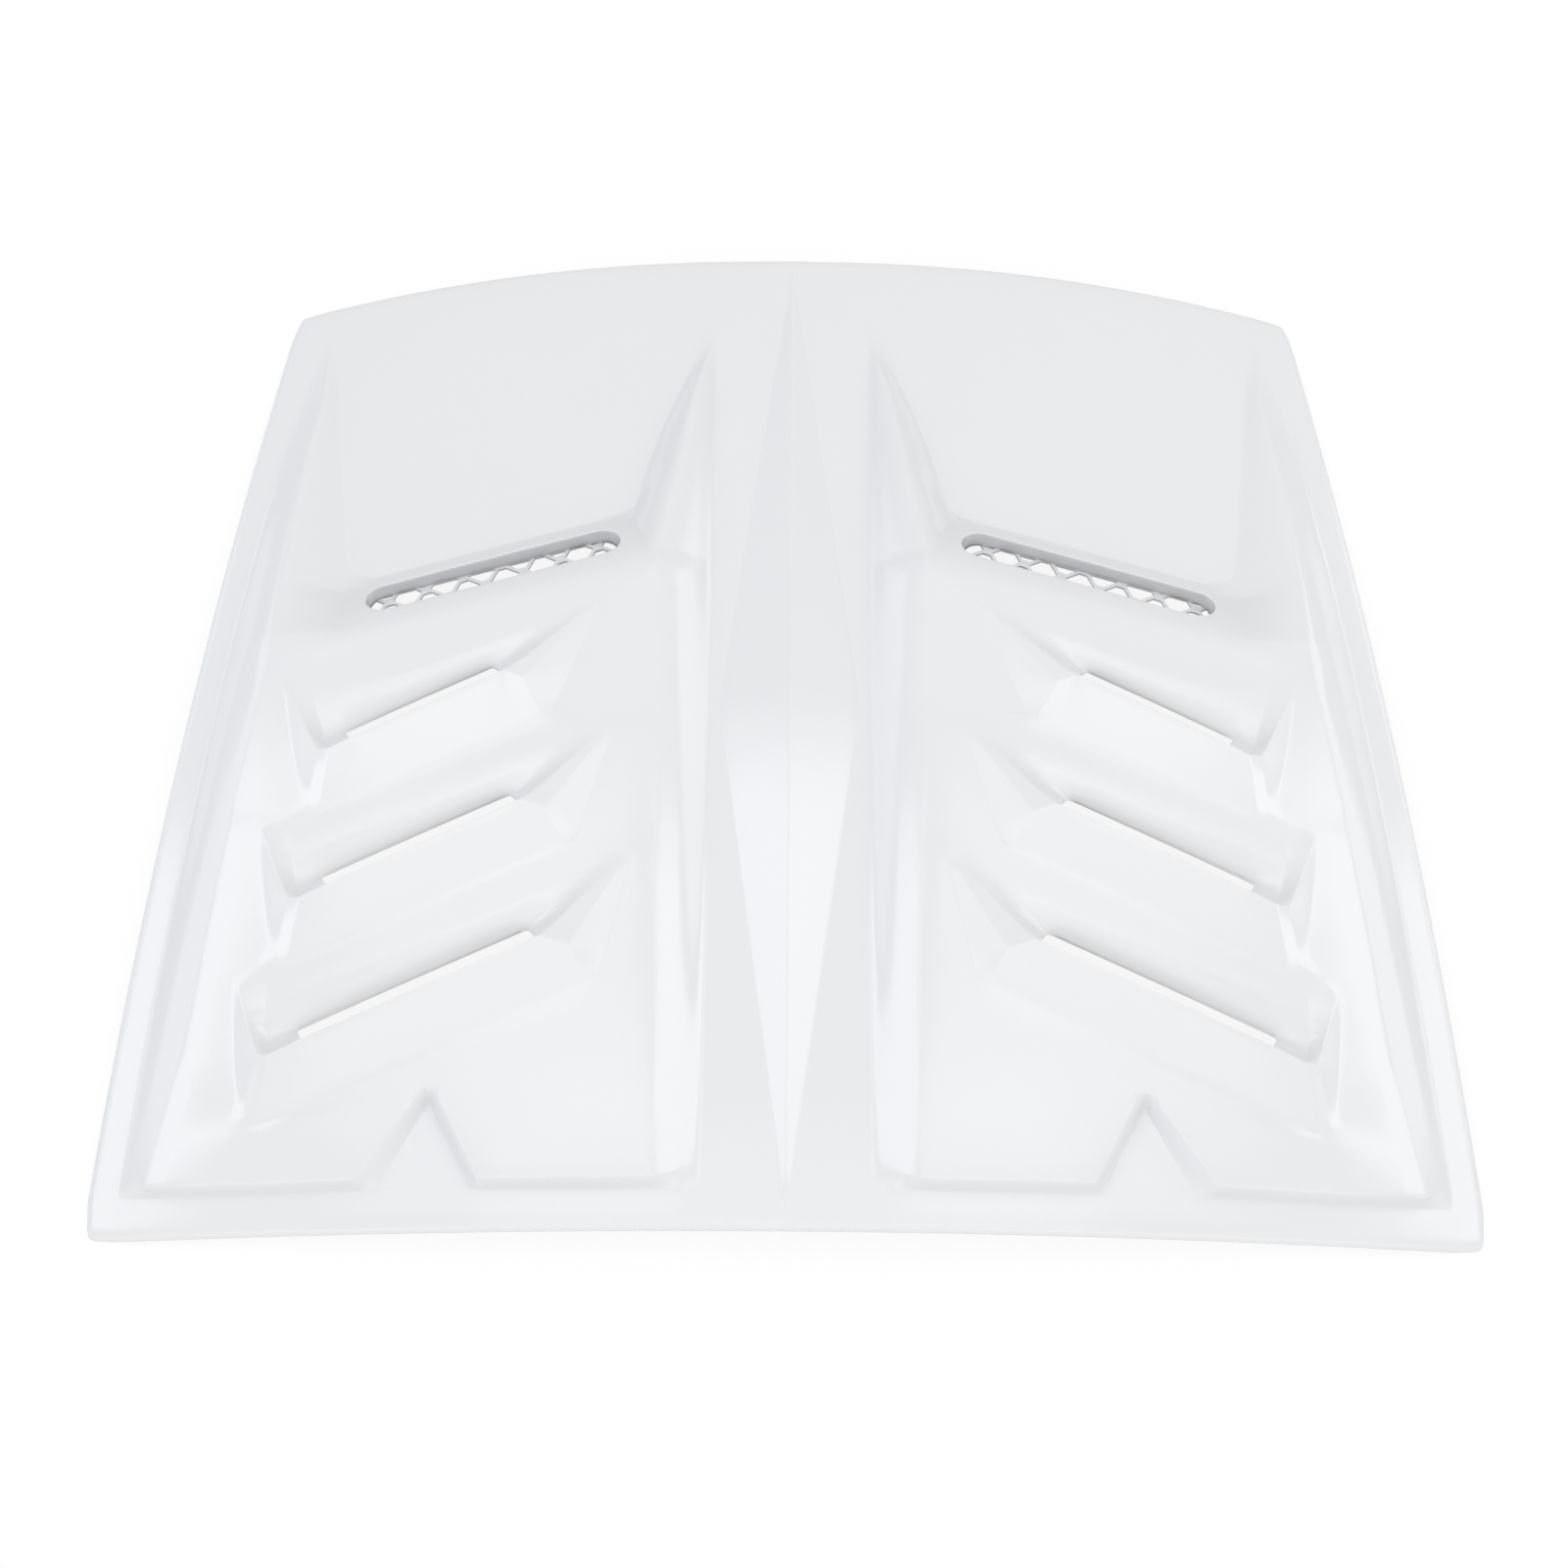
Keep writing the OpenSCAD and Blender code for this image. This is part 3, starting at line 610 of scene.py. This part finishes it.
# %% [markdown]
# How crisp each line is
#
# A subdivision surface rounds everything unless a line is told to hold. On the real moulding the spear's
# ridge, the louvres' facets, the slots' rims and the pods' rear ends are crisp, the pods' feet are fairly
# tight, and the pods' crests are soft. The value is a crease from 0, fully round, to 1, a sharp line.

# %% Creases along the columns
def within_louvre(i):
    return (i - FIRST_LOUVRE) % LOUVRE_ROWS if FIRST_LOUVRE <= i < POD_FRONT else -1


def column_crease(i, c):
    """Crease of the line from row i to row i + 1 on column c."""
    r = within_louvre(i)
    if c <= 1:
        return 1 if 2 <= i < FRONT - 2 else 0
    if c == FOOT:
        return 0.62 if REAR_FOOT <= i < HORN_TIP else 0
    if c == CREST:
        fade = smooth((i - 8) / 12)
        return lerp(0.95, 0.3, fade) if REAR_FOOT <= i < LIP else 0.35 if i < HORN_TIP and i >= LIP else 0
    if c == FACET:
        return 1 if 0 <= r < TIPS else 0.6 if SLOT_REAR <= i < HORN_TIP else 0
    if c in (FACET_TOP, STRIP_IN, STRIP_OUT) and 0 <= r < TIPS:
        return 1
    if c == RIDGE and LIP_ROW <= r < TIPS:
        return 0.7
    if c == OUTER_FACET:
        return 0.6 if 0 <= r < TIPS else 0.55 if FLOOR <= i < HORN_TIP else 0
    if c in (SLOT_IN, SLOT_OUT) and SLOT_REAR <= i < SLOT_FRONT:
        return 0.9
    if 10 <= c <= 13 and REAR_FOOT <= i <= NOTCH_POINT:
        return 0.9 if i < NOTCH_POINT or c in (11, 12) else 0.6
    return outer_crease(i, c)


def outer_crease(i, c):
    if c == SLOT_OUT and 0 <= within_louvre(i) - FAR_EDGE < 2:
        return 0.5
    if c == OUTER_SOFT:
        return 0.8 if REAR_FOOT <= i < 10 else 0
    if c == OUTER_CREST:
        return 0.8 if REAR_FOOT <= i < 10 else 0.4 if 10 <= i < HORN_TIP else 0
    if c == OUTER_MIDDLE:
        return 0.45 if REAR_FOOT <= i < FLOOR else 0
    if c == OUTER_FOOT:
        return 0.6 if REAR_FOOT <= i < HORN_TIP else 0
    return 0


# %% Creases along the rows
def row_crease(i, c):
    """Crease of the line from column c to column c + 1 on row i."""
    r = within_louvre(i)
    over_notch = c in (10, 11, 12)
    if i == REAR_FOOT:
        return 0.75 if FOOT <= c < OUTER_FOOT and c != 11 else 0
    if i == REAR_TOP:
        return 0.95 if CREST <= c < OUTER_CREST and not over_notch else 0.8 if c == FLANK else 0
    if i in (NOTCH_POINT, NOTCH_POINT + 1) and over_notch:
        return 0.8
    if r == HEEL:
        return 0.9 if c == FACET else 0.45 if FACET < c <= STRIP_IN else 0
    if r == LIP_ROW:
        return 1 if FACET_TOP <= c < STRIP_OUT else 0
    if r == FAR_EDGE and SLOT_IN <= c < SLOT_OUT:
        return 1
    if i in (SLOT_REAR, SLOT_FRONT) and SLOT_IN <= c < SLOT_OUT:
        return 0.9 if i == SLOT_REAR else 0.55
    if i == FLOOR and FACET <= c < OUTER_FACET:
        return 0.9
    if i == LIP and SLOT_IN <= c < SLOT_OUT:
        return 0.25
    return 0


# %% [markdown]
# From net to mesh
#
# The right half is mirrored to the left, the faces over the slots are left open, and the creases become an
# edge attribute that the subdivision modifier reads. Points at the ends of a slot get a vertex crease, or
# the slot's square ends would turn into ovals. So do the corners of the louvres' inner facets, which would
# otherwise be pulled in.

# %% Which faces are open
def louvre_slot(i, c):
    return within_louvre(i) == LIP_ROW and SLOT_IN <= c < SLOT_OUT


def mouth_slot(i, c):
    return SLOT_REAR < i < SLOT_FRONT - 1 and SLOT_IN < c < SLOT_OUT - 1


def column_of(j):
    return EDGE - 1 - j if j < EDGE else j - EDGE


def half_column(j):
    return abs(j - EDGE)


# %% Build the net as a mesh
COLUMNS = 2 * EDGE + 1


def net_mesh(name):
    left = half_net[:, :0:-1] * vec(-1, 1, 1)
    whole = np.concatenate([left, half_net], axis=1) * MM
    faces = [
        (i * COLUMNS + j, i * COLUMNS + j + 1, (i + 1) * COLUMNS + j + 1, (i + 1) * COLUMNS + j)
        for i in range(FRONT)
        for j in range(COLUMNS - 1)
        if not louvre_slot(i, column_of(j)) and not mouth_slot(i, column_of(j))
    ]
    mesh = bpy.data.meshes.new(name)
    mesh.from_pydata([tuple(p) for p in whole.reshape(-1, 3)], [], faces)
    mesh.update()
    return mesh


def crease_of(a, b):
    """Crease of the edge between two points of the net."""
    (i1, j1), (i2, j2) = sorted([divmod(a, COLUMNS), divmod(b, COLUMNS)])
    if j1 == j2:
        return column_crease(i1, half_column(j1))
    return row_crease(i1, min(half_column(j1), half_column(j2)))


PINNED = [(row, column) for row in (LIP_ROW, FAR_EDGE) for column in (SLOT_IN, SLOT_OUT)]
PINNED += [(HEEL, FACET), (LIP_ROW, FACET_TOP), (TIPS, FACET)]


def set_creases(mesh):
    creases = mesh.attributes.new("crease_edge", "FLOAT", "EDGE")
    values = [float(crease_of(*edge.vertices)) for edge in mesh.edges]
    creases.data.foreach_set("value", values)
    corners = mesh.attributes.new("crease_vert", "FLOAT", "POINT")
    marks = [0.0] * len(mesh.vertices)
    for index in range(len(marks)):
        i, j = divmod(index, COLUMNS)
        if (within_louvre(i), half_column(j)) in PINNED:
            marks[index] = 0.9
    corners.data.foreach_set("value", marks)
    return values


panel_mesh = net_mesh("moulded_panel")
panel_creases = set_creases(panel_mesh)
moulded_panel = bpy.data.objects.new("moulded_panel", panel_mesh)
bpy.context.collection.objects.link(moulded_panel)
print("faces in the net:", len(panel_mesh.polygons), "creased edges:", sum(v > 0 for v in panel_creases))

# %% [markdown]
# Edges, rounding and thickness
#
# Four modifiers finish the shell. The subdivision surface rounds the soft forms and keeps the creased lines.
# A bevel then gives each creased line the small radius that a mould has, so that it catches light: about
# 1 mm on the crisp lines and more on the pods' feet. Solidify gives the wall of 3 mm, with the underside
# and the slots' cut edges, and thins out to 1 mm along the louvres' slots. Weighted normals come last, so
# that broad faces shade flat up to their edges.

# %% Radius of each creased line
WIDEST = 3.0
LEVELS = 2


def wanted_width(crease, column_line, line):
    if crease < 0.5:
        return 0
    if column_line and line in (FOOT, OUTER_FOOT):
        return 2.6
    if not column_line and line == REAR_FOOT:
        return 1.6
    return 1.1 if crease < 0.85 else 0.8


def room_beside(i, j, di, dj):
    """Least distance from a point of the net to its neighbours on both sides of a line."""
    near = []
    for side in (-1, 1):
        k, m = i + side * di, j + side * dj
        if 0 <= k <= FRONT and 0 <= m <= EDGE:
            near.append(np.linalg.norm(half_net[k, m] - half_net[i, j]))
    return min(near) / 2**LEVELS


def bevel_weight(a, b, crease):
    (i1, j1), (i2, j2) = [(i, half_column(j)) for i, j in sorted([divmod(a, COLUMNS), divmod(b, COLUMNS)])]
    column_line = j1 == j2
    width = wanted_width(crease, column_line, j1 if column_line else i1)
    step = (0, 1) if column_line else (1, 0)
    room = min(room_beside(i1, j1, *step), room_beside(i2, j2, *step))
    return min(width, room * 0.42) / WIDEST


def mark_bevels(mesh, creases):
    weights = mesh.attributes.new("bevel_weight_edge", "FLOAT", "EDGE")
    values = [float(bevel_weight(*edge.vertices, crease)) for edge, crease in zip(mesh.edges, creases)]
    weights.data.foreach_set("value", values)
    return [v for v in values if v > 0]


marked = mark_bevels(panel_mesh, panel_creases)
print("bevelled edges:", len(marked), "narrowest:", round(min(marked) * WIDEST, 2), "mm")


# %% Modifiers of the shell
def add_panel_modifiers(piece):
    rounding = piece.modifiers.new("rounding", "SUBSURF")
    rounding.levels = rounding.render_levels = LEVELS
    edges = piece.modifiers.new("edges", "BEVEL")
    edges.limit_method = "WEIGHT"
    edges.width = WIDEST * MM
    edges.segments = 2
    edges.use_clamp_overlap = False
    wall = piece.modifiers.new("wall", "SOLIDIFY")
    wall.thickness = WALL * MM
    wall.offset = -1
    wall.thickness_clamp = 1
    wall.vertex_group = "wall_share"
    normals = piece.modifiers.new("normals", "WEIGHTED_NORMAL")
    normals.mode = "FACE_AREA"
    normals.weight = 50


EDGE_SHARE = 0.35


def thin_slot_edges(piece):
    """The wall thins towards the louvres' lips and the edges that they face."""
    share = piece.vertex_groups.new(name="wall_share")
    for index in range(len(piece.data.vertices)):
        i, j = divmod(index, COLUMNS)
        thin = within_louvre(i) in (LIP_ROW, FAR_EDGE) and SLOT_IN <= half_column(j) <= SLOT_OUT
        share.add([index], EDGE_SHARE if thin else 1.0, "REPLACE")


for polygon in panel_mesh.polygons:
    polygon.use_smooth = True
thin_slot_edges(moulded_panel)
add_panel_modifiers(moulded_panel)
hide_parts("vent_panel")
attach(moulded_panel, "root")
evaluated = moulded_panel.evaluated_get(bpy.context.evaluated_depsgraph_get()).to_mesh()
print("triangles in the finished shell:", sum(len(p.vertices) - 2 for p in evaluated.polygons))

# %% [markdown]
# Mesh strips
#
# The strip under each mouth's slot keeps the construction model's solid, because its cells are already the
# true shape. A weld joins the points that the file format splits, and a fine bevel takes the sharpness off
# the strands, as a moulding tool would.

# %% Round the strands
STRAND_RADIUS = 0.45 * MM
grilles = [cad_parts[name] for name in ("left_grille", "right_grille")]
for grille in grilles:
    weld = grille.modifiers.new("weld", "WELD")
    weld.merge_threshold = 0.01 * MM
    soften = grille.modifiers.new("soften", "BEVEL")
    soften.width = STRAND_RADIUS
    soften.segments = 2
    soften.limit_method = "ANGLE"
    soften.angle_limit = math.radians(40)
    print(grille.name, "triangles before rounding:", len(grille.data.polygons))

# %% [markdown]
# Gloss white plastic
#
# Thick gloss ABS is not flat white. Moulding leaves a very faint waviness that bends long reflections, the
# pigment varies slightly over a hand's width, and the polish is a little less even in places. Two shader
# groups hold these effects: one gives the cloudy tint, one the waviness. Both materials use them.

# %% Shader group for pigment and polish
def new_group(name, inputs, outputs):
    group = bpy.data.node_groups.new(name, "ShaderNodeTree")
    for socket_name, kind, default in inputs:
        socket = group.interface.new_socket(socket_name, in_out="INPUT", socket_type=kind)
        socket.default_value = default
    for socket_name, kind in outputs:
        group.interface.new_socket(socket_name, in_out="OUTPUT", socket_type=kind)
    return group, group.nodes.new("NodeGroupInput"), group.nodes.new("NodeGroupOutput")


def pigment_group():
    inputs = [
        ("White", "NodeSocketColor", (0.8, 0.8, 0.8, 1)),
        ("Shade", "NodeSocketColor", (0.75, 0.75, 0.75, 1)),
        ("Cloud Size", "NodeSocketFloat", 5.0),
        ("Polish", "NodeSocketFloat", 0.1),
        ("Polish Spread", "NodeSocketFloat", 0.04),
    ]
    outputs = [("Color", "NodeSocketColor"), ("Roughness", "NodeSocketFloat")]
    group, start, end = new_group("pigment_and_polish", inputs, outputs)
    nodes, links = group.nodes, group.links
    place = nodes.new("ShaderNodeTexCoord")
    cloud = nodes.new("ShaderNodeTexNoise")
    cloud.inputs["Detail"].default_value = 3
    mix = nodes.new("ShaderNodeMix")
    mix.data_type = "RGBA"
    polish = nodes.new("ShaderNodeMath")
    polish.operation = "MULTIPLY_ADD"
    links.new(place.outputs["Object"], cloud.inputs["Vector"])
    links.new(start.outputs["Cloud Size"], cloud.inputs["Scale"])
    links.new(cloud.outputs["Fac"], mix.inputs["Factor"])
    links.new(start.outputs["White"], mix.inputs["A"])
    links.new(start.outputs["Shade"], mix.inputs["B"])
    links.new(cloud.outputs["Fac"], polish.inputs[0])
    links.new(start.outputs["Polish Spread"], polish.inputs[1])
    links.new(start.outputs["Polish"], polish.inputs[2])
    links.new(mix.outputs["Result"], end.inputs["Color"])
    links.new(polish.outputs["Value"], end.inputs["Roughness"])
    return group


# %% Shader group for the moulding's waviness
def waviness_group():
    inputs = [
        ("Wave Size", "NodeSocketFloat", 9.0),
        ("Grain Size", "NodeSocketFloat", 900.0),
        ("Grain Share", "NodeSocketFloat", 0.1),
    ]
    group, start, end = new_group("moulding_waviness", inputs, [("Height", "NodeSocketFloat")])
    nodes, links = group.nodes, group.links
    place = nodes.new("ShaderNodeTexCoord")
    wave = nodes.new("ShaderNodeTexNoise")
    wave.inputs["Detail"].default_value = 1
    grain = nodes.new("ShaderNodeTexNoise")
    grain.inputs["Detail"].default_value = 2
    total = nodes.new("ShaderNodeMath")
    total.operation = "MULTIPLY_ADD"
    links.new(place.outputs["Object"], wave.inputs["Vector"])
    links.new(place.outputs["Object"], grain.inputs["Vector"])
    links.new(start.outputs["Wave Size"], wave.inputs["Scale"])
    links.new(start.outputs["Grain Size"], grain.inputs["Scale"])
    links.new(grain.outputs["Fac"], total.inputs[0])
    links.new(start.outputs["Grain Share"], total.inputs[1])
    links.new(wave.outputs["Fac"], total.inputs[2])
    links.new(total.outputs["Value"], end.inputs["Height"])
    return group


PIGMENT = pigment_group()
WAVINESS = waviness_group()

# %% Materials
CLOUD_SIZE = 4.0
POLISH_SPREAD = 0.05


def gloss_plastic(name, white, shade, polish, wave_height):
    material = bpy.data.materials.new(name)
    material.use_nodes = True
    nodes, links = material.node_tree.nodes, material.node_tree.links
    shader = nodes["Principled BSDF"]
    shader.inputs["IOR"].default_value = 1.5
    shader.inputs["Specular IOR Level"].default_value = 0.5
    pigment = nodes.new("ShaderNodeGroup")
    pigment.node_tree = PIGMENT
    pigment.inputs["White"].default_value = (*white, 1)
    pigment.inputs["Shade"].default_value = (*shade, 1)
    pigment.inputs["Cloud Size"].default_value = CLOUD_SIZE
    pigment.inputs["Polish"].default_value = polish
    pigment.inputs["Polish Spread"].default_value = POLISH_SPREAD
    waves = nodes.new("ShaderNodeGroup")
    waves.node_tree = WAVINESS
    bump = nodes.new("ShaderNodeBump")
    bump.inputs["Strength"].default_value = 1.0
    bump.inputs["Distance"].default_value = wave_height
    links.new(pigment.outputs["Color"], shader.inputs["Base Color"])
    links.new(pigment.outputs["Roughness"], shader.inputs["Roughness"])
    links.new(waves.outputs["Height"], bump.inputs["Height"])
    links.new(bump.outputs["Normal"], shader.inputs["Normal"])
    return material


panel_white = gloss_plastic("gloss_white_moulding", (0.82, 0.826, 0.838), (0.80, 0.808, 0.822), 0.07, 0.0004)
mesh_white = gloss_plastic("white_mesh_plastic", (0.82, 0.825, 0.835), (0.79, 0.795, 0.81), 0.22, 0.0002)


def give_material(piece, material):
    piece.data.materials.clear()
    piece.data.materials.append(material)


give_material(moulded_panel, panel_white)
for grille in grilles:
    give_material(grille, mesh_white)
print("materials:", [m.name for m in bpy.data.materials if m.users])

# %% [markdown]
# Camera
#
# The picture was taken from behind the panel's broad end, 60 degrees above the floor and 2.6 m away, with
# a lens of about 70 mm. The frame is shifted a little down and turned by less than half a degree.

# %% Set up the camera
PICTURE = 1601
SENSOR = 36
FOCAL_PIXELS = 3165.5
ELEVATION = math.radians(60)
DISTANCE = 2600 * MM
AIM = Vector((0, -42 * MM, 44.6 * MM))
AIM_PIXEL = (806, 750)
ROLL = math.radians(0.45)

camera_data = bpy.data.cameras.new("picture_camera")
camera = bpy.data.objects.new("picture_camera", camera_data)
bpy.context.collection.objects.link(camera)
bpy.context.scene.camera = camera
camera_data.sensor_width = SENSOR
camera_data.lens = SENSOR * FOCAL_PIXELS / PICTURE
camera_data.shift_x = (PICTURE / 2 - AIM_PIXEL[0]) / PICTURE
camera_data.shift_y = (AIM_PIXEL[1] - PICTURE / 2) / PICTURE
camera.location = AIM + DISTANCE * Vector((0, -math.cos(ELEVATION), math.sin(ELEVATION)))
looking = (AIM - camera.location).to_track_quat("-Z", "Y").to_matrix().to_4x4()
camera.rotation_euler = (looking @ Matrix.Rotation(ROLL, 4, "Z")).to_euler()
print("lens:", round(camera_data.lens, 1), "mm")

# %% [markdown]
# Studio
#
# White plastic on white needs care: the form only shows through small steps of grey. A pale surround lights
# the panel evenly and gets dimmer towards the front, so ramps turn grey. Pairs of soft boxes put bright
# patches on the facets that face them, and a wide lamp behind the camera opens up the walls that face it.

# %% Floor and backdrop
PAPER_WHITE = 0.9


def white_stage_material():
    material = bpy.data.materials.new("studio_white")
    material.use_nodes = True
    nodes, links = material.node_tree.nodes, material.node_tree.links
    shader = nodes["Principled BSDF"]
    shader.inputs["Base Color"].default_value = (1, 1, 1, 1)
    shader.inputs["Roughness"].default_value = 0.9
    shader.inputs["Specular IOR Level"].default_value = 0.0
    rays = nodes.new("ShaderNodeLightPath")
    share = nodes.new("ShaderNodeMath")
    share.operation = "MULTIPLY"
    share.inputs[1].default_value = PAPER_WHITE
    glow = nodes.new("ShaderNodeEmission")
    blend = nodes.new("ShaderNodeMixShader")
    links.new(rays.outputs["Is Camera Ray"], share.inputs[0])
    links.new(share.outputs["Value"], blend.inputs["Fac"])
    links.new(shader.outputs["BSDF"], blend.inputs[1])
    links.new(glow.outputs["Emission"], blend.inputs[2])
    links.new(blend.outputs["Shader"], nodes["Material Output"].inputs["Surface"])
    return material


floor_mesh = bpy.data.meshes.new("floor")
FLOOR_SIZE = 12
corners = [(x * FLOOR_SIZE, y * FLOOR_SIZE, 0) for x, y in ((-1, -1), (1, -1), (1, 1), (-1, 1))]
floor_mesh.from_pydata(corners, [], [(0, 1, 2, 3)])
floor = bpy.data.objects.new("floor", floor_mesh)
bpy.context.collection.objects.link(floor)
floor.location.z = cad_box[0][2] - 0.3 * MM
floor_mesh.materials.append(white_stage_material())


# %% World
def studio_world(middle, to_front, left_tint, right_tint):
    """Pale all round, a little dimmer towards the front, and cool on the left and warm on the right."""
    world = bpy.data.worlds.new("studio")
    bpy.context.scene.world = world
    world.use_nodes = True
    nodes, links = world.node_tree.nodes, world.node_tree.links
    background = nodes["Background"]
    place = nodes.new("ShaderNodeTexCoord")
    split = nodes.new("ShaderNodeSeparateXYZ")
    level = nodes.new("ShaderNodeMath")
    level.operation = "MULTIPLY_ADD"
    level.inputs[1].default_value = to_front
    level.inputs[2].default_value = middle
    sideways = nodes.new("ShaderNodeMapRange")
    sideways.inputs["From Min"].default_value = -1
    tint = nodes.new("ShaderNodeMix")
    tint.data_type = "RGBA"
    tint.inputs["A"].default_value = (*left_tint, 1)
    tint.inputs["B"].default_value = (*right_tint, 1)
    rays = nodes.new("ShaderNodeLightPath")
    strength = nodes.new("ShaderNodeMix")
    strength.inputs["B"].default_value = 1.0
    links.new(place.outputs["Generated"], split.inputs["Vector"])
    links.new(split.outputs["Y"], level.inputs[0])
    links.new(split.outputs["X"], sideways.inputs["Value"])
    links.new(sideways.outputs["Result"], tint.inputs["Factor"])
    links.new(rays.outputs["Is Camera Ray"], strength.inputs["Factor"])
    links.new(level.outputs["Value"], strength.inputs["A"])
    links.new(tint.outputs["Result"], background.inputs["Color"])
    links.new(strength.outputs["Result"], background.inputs["Strength"])


bpy.context.scene.view_settings.view_transform = "Standard"
studio_world(0.665, -0.30, (0.96, 0.98, 1.0), (1.0, 0.99, 0.98))


# %% Soft lights
def soft_light(name, place, target, size, radiance, tint=(1, 1, 1)):
    """A rectangular lamp given by how bright its face looks, where 1 is paper white."""
    data = bpy.data.lights.new(name, "AREA")
    data.shape = "RECTANGLE"
    data.size, data.size_y = size
    data.energy = radiance * math.pi * size[0] * size[1]
    data.color = tint
    lamp = bpy.data.objects.new(name, data)
    bpy.context.collection.objects.link(lamp)
    lamp.location = place
    lamp.rotation_euler = (Vector(target) - Vector(place)).to_track_quat("-Z", "Y").to_euler()
    return lamp


COOL, WARM = (0.95, 0.975, 1.0), (1.0, 0.99, 0.98)
for side, tint in ((-1, COOL), (1, WARM)):
    soft_light("inner_box", (side * 0.62, 0.52, 2.4), (side * 0.62, 0.52, 0), (0.75, 0.85), 0.95, tint)
    soft_light("outer_box", (side * 1.85, 0.6, 2.4), (side * 1.0, 0.4, 0), (1.3, 1.0), 2.4, tint)
soft_light("overhead", (0, -0.35, 2.6), (0, 0, 0), (1.4, 1.6), 0.7)
soft_light("behind", (0, -2.3, 1.9), (0, 0, 0), (2.6, 1.0), 1.0)
soft_light("left_fill", (-2.35, 1.2, 1.3), (0, 0, 0), (1.6, 1.0), 1.0, COOL)
soft_light("right_fill", (2.35, 1.2, 1.3), (0, 0, 0), (1.6, 1.0), 1.5, WARM)
